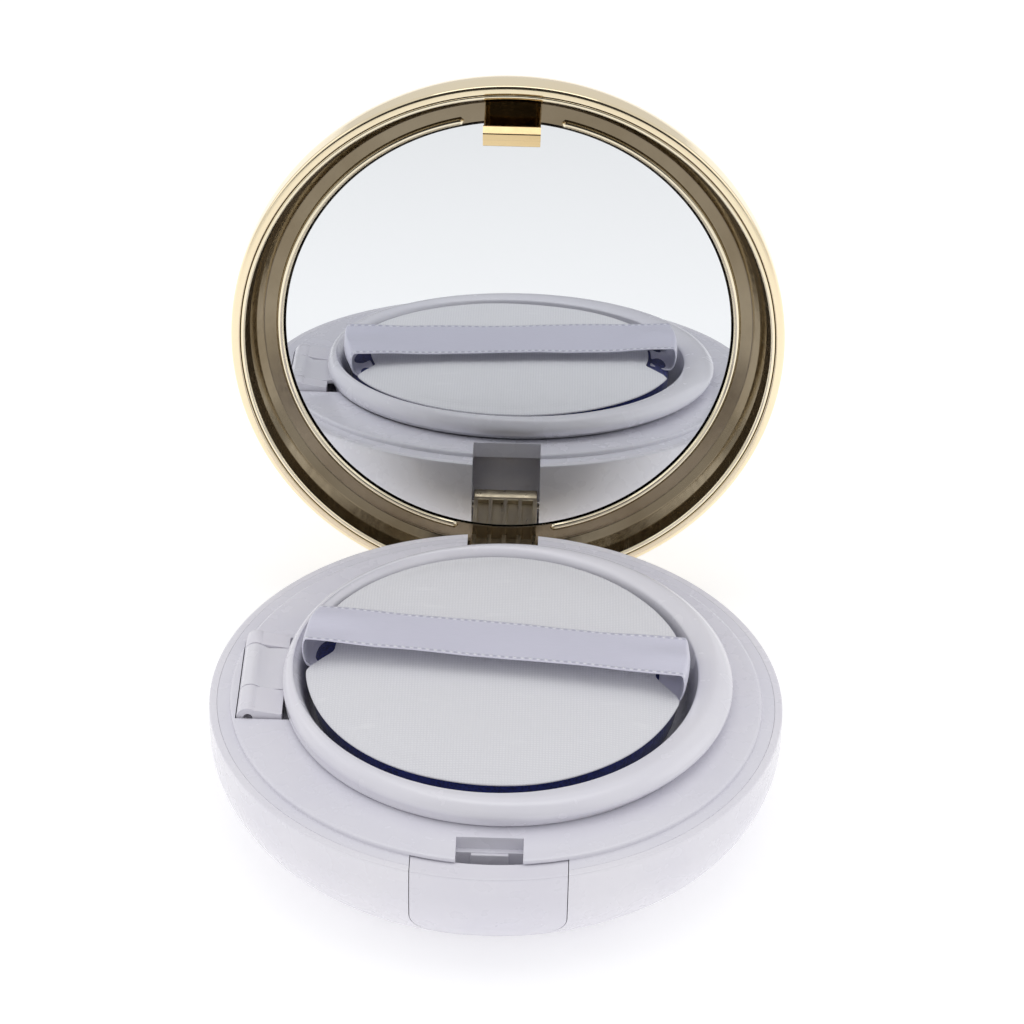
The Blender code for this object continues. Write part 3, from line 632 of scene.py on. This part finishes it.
# ---- refill cup --------------------------------------------------------------------------
cup_r = hole_r - 0.25
flange_r = hole_r + 0.45
flange_top = PLATEAU_Z - 0.25
rings = [
    (DISH_X, DISH_Y, 0, CUP_FLOOR + 1.2),
    (DISH_X, DISH_Y, cup_r - 2.7, CUP_FLOOR + 1.2),
    (DISH_X, DISH_Y, cup_r - 1.9, CUP_FLOOR + 2.0),
    (DISH_X, DISH_Y, cup_r - 0.85, 12.0),
    (DISH_X, DISH_Y, cup_r - 0.85, flange_top),
    (DISH_X + 0.3, DISH_Y - 0.3, flange_r, flange_top),
    (DISH_X + 0.3, DISH_Y - 0.3, flange_r, flange_top - 1.0),
    (DISH_X, DISH_Y, cup_r, flange_top - 1.0),
    (DISH_X, DISH_Y, cup_r, 11.6),
    (DISH_X, DISH_Y, cup_r - 0.9, CUP_FLOOR + 1.8),
    (DISH_X, DISH_Y, cup_r - 2.2, CUP_FLOOR),
    (DISH_X, DISH_Y, 0, CUP_FLOOR),
]
refill_cup = loft("cup", softened(rings, 0.25))
bracket_low = INNER_Z - 2.8
bracket = block("bracket", (INNER_X - 1.4, BRACKET_FRONT, bracket_low),
                (DISH_X - cup_r + 0.45, BRACKET_REAR, bracket_low + 0.8), 0.12)
middle_front = BRACKET_FRONT + 5.9
middle_rear = BRACKET_REAR - 3.3
for y0, y1 in ((BRACKET_FRONT, middle_front - 0.15), (middle_rear + 0.15, BRACKET_REAR)):
    outline = [
        (INNER_X + 4.8, INNER_Z + 0.75),
        (INNER_X + 4.8, bracket_low + 0.3),
        (INNER_X - 1.2, bracket_low + 0.3),
    ]
    outline += arc(INNER_X, INNER_Z, KNUCKLE_R, 195, 55, 28)
    join(bracket, prism("ear", outline, "Y", y0, y1, edge=0.16))
join(refill_cup, bracket)
cut(refill_cup, rod("ear_bore", (INNER_X, BRACKET_FRONT - 1, INNER_Z),
                    (INNER_X, BRACKET_REAR - 1.0, INNER_Z), SMALL_PIN_R + 0.08))
settle(refill_cup, "refill", ["refill_cup"], [cup_white])

small_pin = rod("small_pin", (INNER_X, BRACKET_FRONT + 1.6, INNER_Z), (INNER_X, BRACKET_REAR - 1.3, INNER_Z),
                SMALL_PIN_R, 48, 0.12)
settle(small_pin, "refill", ["inner_lid_pin"], [pin_white])

sponge_r = cup_r - 2.2
sponge_top = CUP_FLOOR + 8.2
sponge = turned("powder_sponge", [
    (0, sponge_top),
    (sponge_r * 0.6, sponge_top - 0.05),
    (sponge_r - 0.7, sponge_top - 0.2),
    (sponge_r, sponge_top - 1.0),
    (sponge_r - 0.2, CUP_FLOOR + 3.0),
    (sponge_r - 1.1, CUP_FLOOR + 1.45),
    (0, CUP_FLOOR + 1.45),
], centre=(DISH_X, DISH_Y), soft=0.6)
# The sponge's second colour is painted shade in its pores.
sponge_mat = soft_foam("sponge_beige", (0.74, 0.52, 0.36), (0.52, 0.34, 0.22), 0.0007, 0.00012)
settle(sponge, "refill", ["cushion_sponge"], [sponge_mat])

# ---- inner lid ---------------------------------------------------------------------------
crest_x = DISH_X + 1.5
crest_y = DISH_Y - 0.5
crest_z = PLATEAU_Z + 3.9
foot_z = PLATEAU_Z + 0.12
dish_floor = PLATEAU_Z - 3.6


def between(t, radius, z):
    """A ring whose middle moves from the recess (t=0) to the outer edge (t=1)."""
    return (DISH_X + (crest_x - DISH_X) * t, DISH_Y + (crest_y - DISH_Y) * t, radius, z)


rings = [
    between(0, 0, dish_floor),
    between(0, DISH_R - 2.0, dish_floor),
    between(0, DISH_R - 0.8, dish_floor + 1.0),
    between(0, DISH_R + 0.1, dish_floor + 4.2),
    between(0, DISH_R + 0.75, crest_z - 1.2),
    (DISH_X - 0.3, DISH_Y + 0.3, DISH_R + 1.2, crest_z - 0.3),
    between(0.5, CREST_R - 2.2, crest_z + 0.05),
    between(0.8, CREST_R - 1.0, crest_z - 0.2),
    between(1, CREST_R, crest_z - 1.6),
    between(0.8, CREST_R - 0.45, crest_z - 2.8),
    (DISH_X + 0.7, DISH_Y - 0.8, CREST_R - 1.05, foot_z + 0.4),
    (DISH_X + 0.6, DISH_Y - 0.9, CREST_R - 1.3, foot_z),
    between(0, DISH_R + 0.35, foot_z),
    between(0, DISH_R - 0.05, foot_z - 0.6),
    between(0, DISH_R - 0.15, dish_floor - 0.2),
    between(0, DISH_R - 0.9, dish_floor - 1.0),
    between(0, 0, dish_floor - 1.0),
]
inner_lid = loft("dish_lid", softened(softened(rings, 0.9, 5, least=8.0), 0.12, 2))
outline = [
    (INNER_X + 6.6, INNER_Z + 1.15),
    (INNER_X + 6.6, INNER_Z + 0.2),
    (INNER_X + 1.7, INNER_Z + 0.2),
]
outline += arc(INNER_X, INNER_Z, KNUCKLE_R, 6, -302, 56)
outline += [(INNER_X + 1.9, INNER_Z + 0.85), (INNER_X + 4.7, INNER_Z + 0.85)]
join(inner_lid, prism("leaf", outline, "Y", middle_front, middle_rear, edge=0.14))
cut(inner_lid, rod("leaf_bore", (INNER_X, middle_front - 1, INNER_Z), (INNER_X, middle_rear + 1, INNER_Z),
                   SMALL_PIN_R + 0.08))
settle(inner_lid, "inner_lid_body", ["inner_lid"], [lid_white])

seal_r = DISH_R - 0.03
seal = turned("seal_ring", [
    (seal_r, PLATEAU_Z - 1.1),
    (seal_r + 0.42, PLATEAU_Z - 1.4),
    (seal_r + 0.42, PLATEAU_Z - 2.0),
    (seal_r, PLATEAU_Z - 2.3),
], closed=True, centre=(DISH_X, DISH_Y), soft=0.15)
settle(seal, "inner_lid_body", ["inner_lid_seal"], [silicone()])

# ---- puff --------------------------------------------------------------------------------
SWELL = 10.0           # the cloth solver works on a copy this many times larger


def swollen_foam():
    """The foam body, plumped by cloth pressure at a size the solver is steady at."""
    pad = turned("puff_body", [
        (0, PUFF_TOP - 0.12),
        (PUFF_R - 0.4, PUFF_TOP - 0.12),
        (PUFF_R + 0.35, PUFF_TOP - 0.5),
        (PUFF_R + 0.45, PUFF_TOP - 1.9),
        (PUFF_R + 0.1, PUFF_LOW + 1.5),
        (PUFF_R - 0.8, PUFF_LOW + 0.35),
        (PUFF_R - 2.2, PUFF_LOW + 0.12),
        (0, PUFF_LOW + 0.12),
    ], centre=(PUFF_X, PUFF_Y), soft=0.5)
    pad.scale = (SWELL, SWELL, SWELL)
    with bpy.context.temp_override(object=pad, active_object=pad, selected_objects=[pad],
                                   selected_editable_objects=[pad]):
        bpy.ops.object.transform_apply(location=False, rotation=False, scale=True)
        remesh = pad.modifiers.new("even", "REMESH")
        remesh.mode = "VOXEL"
        remesh.voxel_size = 0.0085
        bpy.ops.object.modifier_apply(modifier=remesh.name)
        before = [v.co.copy() for v in pad.data.vertices]
        cloth = pad.modifiers.new("plump", "CLOTH")
        cloth.settings.use_pressure = True
        cloth.settings.uniform_pressure_force = 3.0
        cloth.settings.effector_weights.gravity = 0.0
        cloth.settings.quality = 6
        cloth.point_cache.frame_start = 1
        cloth.point_cache.frame_end = 20
        for step in range(1, 21):
            bpy.context.scene.frame_set(step)
        bpy.ops.object.modifier_apply(modifier=cloth.name)
    bpy.context.scene.frame_set(1)
    top = PUFF_TOP * MM * SWELL
    most = 0.0045
    for vert, old in zip(pad.data.vertices, before):
        move = vert.co - old
        if move.length > most:
            move = move * (most / move.length)
        if old.z < top * 0.9:
            move.z = max(move.z, -0.001)
        vert.co = (old + move) / SWELL
    pad.data.update()
    smooth = pad.modifiers.new("smooth", "SMOOTH")
    smooth.factor = 0.5
    smooth.iterations = 4
    fine = pad.modifiers.new("fine", "SUBSURF")
    fine.levels = 1
    fine.render_levels = 1
    pad.data.shade_smooth()
    return pad


foam = swollen_foam()
# The foam's second colour is painted shade in its pores.
foam_mat = soft_foam("puff_navy_foam", (0.012, 0.022, 0.17), (0.004, 0.007, 0.06), 0.00035, 0.00005)
settle(foam, "puff", ["puff_foam"], [foam_mat], even=False)
bpy.context.view_layer.update()
foam_tree = BVHTree.FromObject(foam, bpy.context.evaluated_depsgraph_get())


def foam_height(x, y):
    """Top of the foam at a place, in millimetres."""
    hit = foam_tree.ray_cast(Vector((x, y, PUFF_TOP + 20.0)) * MM, Vector((0, 0, -1)))[0]
    return hit.z / MM if hit else PUFF_TOP - 0.6


def ease(t):
    t = min(max(t, 0.0), 1.0)
    return t * t * (3 - 2 * t)


COVER_R = PUFF_R + 0.65
COVER_LIFT = 0.16
LEFT_PINCH = (-1.0, 12.8, 3.9)     # y where the ribbon's end pinches the face in, and by how much
RIGHT_PINCH = (-5.9, 10.0, 4.3)


def cover_radius(a):
    """Outline of the woven face: a circle, pulled in where the ribbon's ends pinch it."""
    x = PUFF_X + COVER_R * math.cos(a)
    y = PUFF_Y + COVER_R * math.sin(a)
    low, high, depth = LEFT_PINCH if x < 0 else RIGHT_PINCH
    pinch = depth * ease((y - low) / 4.6) * ease((high - y) / 2.5)
    if abs(x) < 15:
        pinch = 0.0
    return COVER_R - pinch + 0.06 * math.sin(5 * a + 1.0)


def cover_height(x, y):
    out = math.hypot(x - PUFF_X, y - PUFF_Y) / COVER_R
    crown = 0.5 * (1 - out ** 2.2)
    wave = 0.10 * noise.noise(Vector((x, y, 3.0)) * 0.09)
    droop = 0.35 * ease((out - 0.95) / 0.07)
    return max(foam_height(x, y), PUFF_TOP - 0.35) + COVER_LIFT + crown + wave - droop


def woven_cover():
    """A thin disc of cloth over the foam, in rings that follow the pinched outline."""
    bm = bmesh.new()
    ring_count = 46
    around = 240
    centre = bm.verts.new((PUFF_X, PUFF_Y, cover_height(PUFF_X, PUFF_Y)))
    rings = []
    for k in range(1, ring_count + 1):
        share = (k / ring_count) ** 0.85
        ring = []
        for i in range(around):
            a = 2 * math.pi * i / around
            r = share * cover_radius(a)
            x = PUFF_X + r * math.cos(a)
            y = PUFF_Y + r * math.sin(a)
            z = cover_height(x, y)
            ring.append(bm.verts.new((x, y, z)))
        rings.append(ring)
    for i in range(around):
        j = (i + 1) % around
        bm.faces.new((centre, rings[0][i], rings[0][j]))
        for one, two in zip(rings, rings[1:]):
            bm.faces.new((one[i], two[i], two[j], one[j]))
    cover = finish("puff_face", bm, angle=80.0)
    weight = cover.modifiers.new("cloth", "SOLIDIFY")
    weight.thickness = 0.00032
    weight.offset = 1.0
    rim = cover.modifiers.new("hem", "BEVEL")
    rim.width = 0.0001
    rim.segments = 2
    rim.limit_method = "ANGLE"
    return cover


cover = woven_cover()
settle(cover, "puff", ["puff_cover"], [woven_face()], even=False)

RIBBON_HALF = 5.0
RIBBON_REACH = PUFF_R + 0.55
RIBBON_LIFT = 3.5      # of the middle of the ribbon above the foam
LOOP_DROP = 4.3        # from the top of the ribbon to the bottom of the loop at its end
TUCK = 3.2             # of the ribbon's end under the woven face


def ribbon_middle(s):
    """Middle line of the ribbon across the puff, s from -1 (left) to 1 (right)."""
    return PUFF_Y + 1.45 - 2.9 * s - 0.2 * s * s


def ribbon_point(s, t, fold=0.0):
    """A point of the ribbon: s along the top, t across (-1 front, 1 rear), fold 0 to 1 round its end."""
    y = ribbon_middle(s) + RIBBON_HALF * 1.04 * t
    side = 1 if s > 0 else -1
    reach = math.sqrt(max(RIBBON_REACH ** 2 - (y - PUFF_Y) ** 2, 0))
    x = PUFF_X + s * reach
    rise = ease((abs(s) - 0.62) / 0.3)
    ripple = 0.08 * math.sin(7.0 * s + 1.3 * t) + 0.06 * noise.noise(Vector((s * 6.0, t, 1.7)))
    flute = 0.22 * rise * math.sin(4.4 * t + 1.1 + side)
    top = PUFF_TOP + RIBBON_LIFT - 0.6 * t + 0.25 * rise + ripple + flute
    if fold == 0:
        return Vector((x, y, top))
    bend = min(fold / 0.7, 1.0)
    a = math.pi * bend
    tuck = max(fold - 0.7, 0.0) / 0.3
    drop = LOOP_DROP / 2 * (1 - math.cos(a)) * (1 - 0.12 * t) - 0.7 * tuck ** 2
    out = 0.75 * math.sin(a) - 0.5 * bend - TUCK * tuck
    return Vector((x + side * out, y - 0.4 * side * tuck, top - drop))


def satin_ribbon():
    """The finger ribbon: lies over the face, lifts near its ends, turns down the side and tucks under."""
    bm = bmesh.new()
    across = 14
    hook_steps = 20
    spots = [(-1.0, k / hook_steps) for k in range(hook_steps, 0, -1)]
    spots += [(-1.0 + 2.0 * i / 72, 0.0) for i in range(73)]
    spots += [(1.0, k / hook_steps) for k in range(1, hook_steps + 1)]
    rows = [[ribbon_point(s, -1 + 2 * j / across, fold) for j in range(across + 1)] for s, fold in spots]
    grid = [[bm.verts.new(p) for p in row] for row in rows]
    lengths = [0.0]
    for one, two in zip(rows, rows[1:]):
        lengths.append(lengths[-1] + (two[across // 2] - one[across // 2]).length)
    uv = bm.loops.layers.uv.new("along")
    for i in range(len(grid) - 1):
        for j in range(across):
            corners = ((i, j), (i + 1, j), (i + 1, j + 1), (i, j + 1))
            face = bm.faces.new([grid[a][b] for a, b in corners])
            for loop, (a, b) in zip(face.loops, corners):
                loop[uv].uv = (lengths[a] / lengths[-1], b / across)
    ribbon = finish("finger_ribbon", bm, angle=80.0)
    body = ribbon.modifiers.new("cloth", "SOLIDIFY")
    body.thickness = 0.00024
    body.offset = 0.0
    fine = ribbon.modifiers.new("fine", "SUBSURF")
    fine.levels = 1
    fine.render_levels = 1
    return ribbon, lengths[-1]


ribbon, ribbon_length = satin_ribbon()
settle(ribbon, "puff", ["puff_ribbon"], [satin()], even=False)
for piece in (foam, cover, ribbon):
    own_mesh(piece)

# ---- outer lid, shaped shut --------------------------------------------------------------
lid_corner = 8.8
corner_z = TOP_Z - 0.35 - lid_corner
shell_wall = 1.35
profile = [
    (0, TOP_Z),
    (LID_R * 0.25, TOP_Z - 0.02),
    (LID_R * 0.45, TOP_Z - 0.08),
    (LID_R * 0.62, TOP_Z - 0.2),
]
profile += arc(LID_R - lid_corner, corner_z, lid_corner, 88, 0, 32)
profile += [
    (LID_R, LIP_Z + 0.45),
    (LID_R - 0.15, LIP_Z + 0.1),
    (LID_R - 0.5, LIP_Z),
    (LID_R - 1.25, LIP_Z),
    (LID_R - 1.35, LIP_Z + 0.1),
]
profile += arc(LID_R - lid_corner, corner_z, lid_corner - shell_wall, 0, 88, 16)
profile += [(0, TOP_Z - shell_wall - 0.2)]
lid_shell = turned("lid_cover", profile, soft=0.16)
settle(lid_shell, "lid", ["lid_shell"], [gold_outer], opened=True)

liner_r = LID_R - 1.45
back_z = MIRROR_Z + 2.8
profile = [
    (0, back_z),
    (LID_R - 5.6, back_z),
    (LID_R - 4.0, back_z - 0.8),
    (LID_R - 2.7, MIRROR_Z - 0.6),
    (liner_r, MIRROR_Z - 3.4),
    (liner_r, LIP_Z + 0.15),
    (liner_r - 0.12, LIP_Z),
    (liner_r - 0.5, LIP_Z),
    (liner_r - 0.65, LIP_Z + 0.15),
    (liner_r - 0.8, LIP_Z + 1.5),
    (liner_r - 1.15, LIP_Z + 2.9),
    (liner_r - 2.05, MIRROR_Z - 1.0),
    (MIRROR_R + 3.1, MIRROR_Z),
    (MIRROR_R + 0.15, MIRROR_Z),
    (MIRROR_R + 0.15, MIRROR_Z + 1.55),
    (0, MIRROR_Z + 1.55),
]
lid_liner = turned("lid_lining", profile, soft=0.12)
# Lip faces take the paler ridge gold (painted highlight); the floor round the mirror takes the darker gold
# and the rest of the wall the darkest gold (painted shade).
for face in lid_liner.data.polygons:
    height = face.center.z / MM
    reach = math.hypot(face.center.x, face.center.y) / MM
    if height < LIP_Z + 0.35:
        face.material_index = 1
    elif reach < liner_r - 1.2 and height < MIRROR_Z + 0.1:
        face.material_index = 2
settle(lid_liner, "lid", ["lid_liner"], [gold_wall_painted_shade, gold_ridge_painted_highlight, gold_floor_painted_shade], opened=True)

RIDGE_GAP = 7.1
RIDGE_R = MIRROR_R + 0.72
RIDGE_HALF = 0.58
RIDGE_HEIGHT = 0.62


def ridge(name, side):
    """One raised arc round the mirror, with rounded ends either side of the hook and the arm."""
    bm = bmesh.new()
    tip = math.asin(RIDGE_GAP / RIDGE_R)
    start = -math.pi / 2 + tip
    end = math.pi / 2 - tip
    steps = 200
    across = 14
    rows = []
    for i in range(steps + 1):
        a = start + (end - start) * i / steps
        near = min(a - start, end - a) * RIDGE_R
        full = math.sqrt(max(1 - (1 - min(near / RIDGE_HALF, 1.0)) ** 2, 0.0)) if near < RIDGE_HALF else 1.0
        full = max(full, 0.02)
        row = []
        for j in range(across + 1):
            b = math.pi * j / across
            r = RIDGE_R + RIDGE_HALF * full * math.cos(b)
            z = MIRROR_Z + 0.05 - RIDGE_HEIGHT * full * math.sin(b) ** 0.8
            row.append(bm.verts.new((side * r * math.cos(a), r * math.sin(a), z)))
        rows.append(row)
    for one, two in zip(rows, rows[1:]):
        for j in range(across):
            bm.faces.new((one[j], one[j + 1], two[j + 1], two[j]))
        bm.faces.new((one[0], two[0], two[across], one[across]))
    bm.faces.new(rows[0])
    bm.faces.new(rows[-1])
    obj = finish(name, bm, angle=60.0)
    # The ridge wears the paler gold, a painted highlight.
    return settle(obj, "lid", mats=[gold_ridge_painted_highlight], even=False, opened=True)


ridge("ridge_left", -1)
ridge("ridge_right", 1)

hook_low = LIP_Z - 6.1
hook = block("hook", (-HOOK_HALF, HOOK_FRONT + 0.75, hook_low),
             (HOOK_HALF, HOOK_FRONT + 1.8, MIRROR_Z + 0.8), 0.1)
for side in (-1, 1):
    x0, x1 = sorted((side * (HOOK_HALF - 0.75), side * (HOOK_HALF - 0.03)))
    join(hook, block("hook_rail", (x0, HOOK_FRONT, hook_low + 0.5),
                     (x1, HOOK_FRONT + 0.98, MIRROR_Z + 0.7), 0.18))
lip = [
    (HOOK_FRONT + 0.93, hook_low - 0.02),
    (HOOK_FRONT + 0.93, hook_low + 1.7),
    (HOOK_FRONT + 0.1, hook_low + 1.7),
    (HOOK_FRONT - 0.9, hook_low + 1.3),
    (HOOK_FRONT - 0.9, hook_low + 0.9),
    (HOOK_FRONT - 0.1, hook_low - 0.02),
]
join(hook, prism("hook_lip", lip, "X", -HOOK_HALF - 0.02, HOOK_HALF + 0.02, soft=0.12))
settle(hook, "lid", mats=[gold_hook], opened=True)

web_in = HINGE_Y - 1.3
outline = [(web_in, MIRROR_Z + 0.8), (web_in, HINGE_Z + 1.9)]
outline += [(HINGE_Y + r, HINGE_Z + z) for r, z in arc(0, 0, 2.3, 125, 325, 40)]
outline += [(HINGE_Y + 1.3, HINGE_Z + 3.0), (HINGE_Y + 1.3, LIP_Z + 2.0), (HINGE_Y + 0.4, MIRROR_Z + 0.8)]
arm = prism("hinge_arm", outline, "X", -ARM_HALF, ARM_HALF, edge=0.15)
rib_front = web_in - 0.75
for i in range(5):
    x = (i - 2) * (ARM_HALF - 0.35) / 2
    join(arm, block("rib", (x - 0.34, rib_front, HINGE_Z + 2.0),
                    (x + 0.34, web_in + 0.2, MIRROR_Z + 0.7), 0.12))
join(arm, block("rib_end", (-ARM_HALF + 0.01, rib_front + 0.01, HINGE_Z + 1.4),
                (ARM_HALF - 0.01, web_in + 0.3, HINGE_Z + 2.2), 0.12))
cut(arm, rod("eye_bore", (-8, HINGE_Y, HINGE_Z), (8, HINGE_Y, HINGE_Z), PIN_R + 0.07))
settle(arm, "lid", mats=[gold_arm], opened=True)

mirror = turned("mirror_glass", [
    (0, MIRROR_Z + 1.25),
    (MIRROR_R, MIRROR_Z + 1.25),
    (MIRROR_R, MIRROR_Z + 0.22),
    (MIRROR_R - 0.17, MIRROR_Z + 0.05),
    (0, MIRROR_Z + 0.05),
], soft=0.03)
for face in mirror.data.polygons:
    flat = len(face.vertices) == 3
    face.use_smooth = not flat
    face.material_index = 0 if flat else 1
settle(mirror, "lid", ["mirror"], [mirror_silver(), dark_edge()], even=False, opened=True)

backing = turned("mirror_backing", [
    (0, MIRROR_Z + 1.50),
    (MIRROR_R - 1.5, MIRROR_Z + 1.50),
    (MIRROR_R - 1.5, MIRROR_Z + 1.30),
    (0, MIRROR_Z + 1.30),
], soft=0.05)
settle(backing, "lid", ["mirror_tape"], [sticky_tape()], opened=True)

# ---- studio ------------------------------------------------------------------------------
FLOOR_REACH = 1.6


def floor():
    """A pale luminous table that dims a little towards the front."""
    bm = bmesh.new()
    bmesh.ops.create_grid(bm, x_segments=8, y_segments=8, size=FLOOR_REACH / MM)
    obj = finish("table", bm, smooth=False)
    obj.location.z = -0.00005
    made = Finish("table_white", (0.86, 0.86, 0.86), 0.6)
    split = made.node("SeparateXYZ")
    made.link(made.coords.outputs["Object"], split.inputs[0])
    glow = made.ramp(split.outputs["Y"], -0.32, -0.08, 0.12, 0.32)
    made.shader.inputs["Emission Color"].default_value = (1.0, 1.0, 1.0, 1.0)
    made.link(glow, made.shader.inputs["Emission Strength"])
    made.bump(made.noise(0.01, 3.0), 0.00005)
    obj.data.materials.append(made.mat)
    return obj


floor()

world = bpy.data.worlds.new("studio")
bpy.context.scene.world = world
world.use_nodes = True
backdrop = world.node_tree.nodes["Background"]
backdrop.inputs["Color"].default_value = (0.985, 0.985, 1.0, 1.0)
backdrop.inputs["Strength"].default_value = 0.70


def softbox(name, place, aim, width, height, power):
    light = bpy.data.lights.new(name, "AREA")
    light.shape = "RECTANGLE"
    light.size = width
    light.size_y = height
    light.energy = power
    obj = bpy.data.objects.new(name, light)
    bpy.context.scene.collection.objects.link(obj)
    obj.location = place
    obj.rotation_euler = (Vector(aim) - Vector(place)).to_track_quat("-Z", "Y").to_euler()
    return obj


softbox("key_left", (-0.75, 0.10, 0.40), (0, 0, 0.03), 0.6, 0.5, 0.55)
softbox("fill_right", (0.75, 0.10, 0.40), (0, 0, 0.03), 0.5, 0.5, 0.50)
softbox("overhead", (0.0, 0.08, 0.95), (0, 0, 0.03), 0.8, 0.6, 1.5)


def front_flag():
    """A curved black cloth in front of the set that only the glossy surfaces see."""
    bm = bmesh.new()
    reach = 1000.0
    rows = []
    for k in range(9):
        rise = math.radians(4 + 80 * k / 8)
        row = []
        for i in range(13):
            turn = math.radians(-40 + 80 * i / 12)
            out = reach * math.cos(rise)
            row.append(bm.verts.new((out * math.sin(turn), -out * math.cos(turn), reach * math.sin(rise))))
        rows.append(row)
    for one, two in zip(rows, rows[1:]):
        for i in range(12):
            bm.faces.new((one[i], one[i + 1], two[i + 1], two[i]))
    obj = finish("front_flag", bm)
    made = Finish("flag_cloth", (0.02, 0.018, 0.016), 0.9)
    made.tint(made.ramp(made.noise(0.1), 0.4, 0.7), (0.03, 0.028, 0.025))
    obj.data.materials.append(made.mat)
    obj.visible_camera = False
    obj.visible_diffuse = False
    obj.visible_shadow = False
    return obj


front_flag()

camera = bpy.data.objects.new("camera", bpy.data.cameras.new("camera"))
bpy.context.scene.collection.objects.link(camera)
bpy.context.scene.camera = camera
camera.data.sensor_width = 36.0
camera.data.lens = 133.24
camera.data.clip_start = 0.05
camera.location = (0.00598, -0.43331, 0.34467)
right = Vector((0.99958938, 0.0222342, 0.01807505))
up = Vector((-0.02746388, 0.56348026, 0.8256729))
back = right.cross(up)
camera.rotation_mode = "QUATERNION"
camera.rotation_quaternion = Matrix((right, up, back)).transposed().to_quaternion()
bpy.context.scene.view_settings.view_transform = "Standard"
bpy.context.scene.view_settings.look = "None"
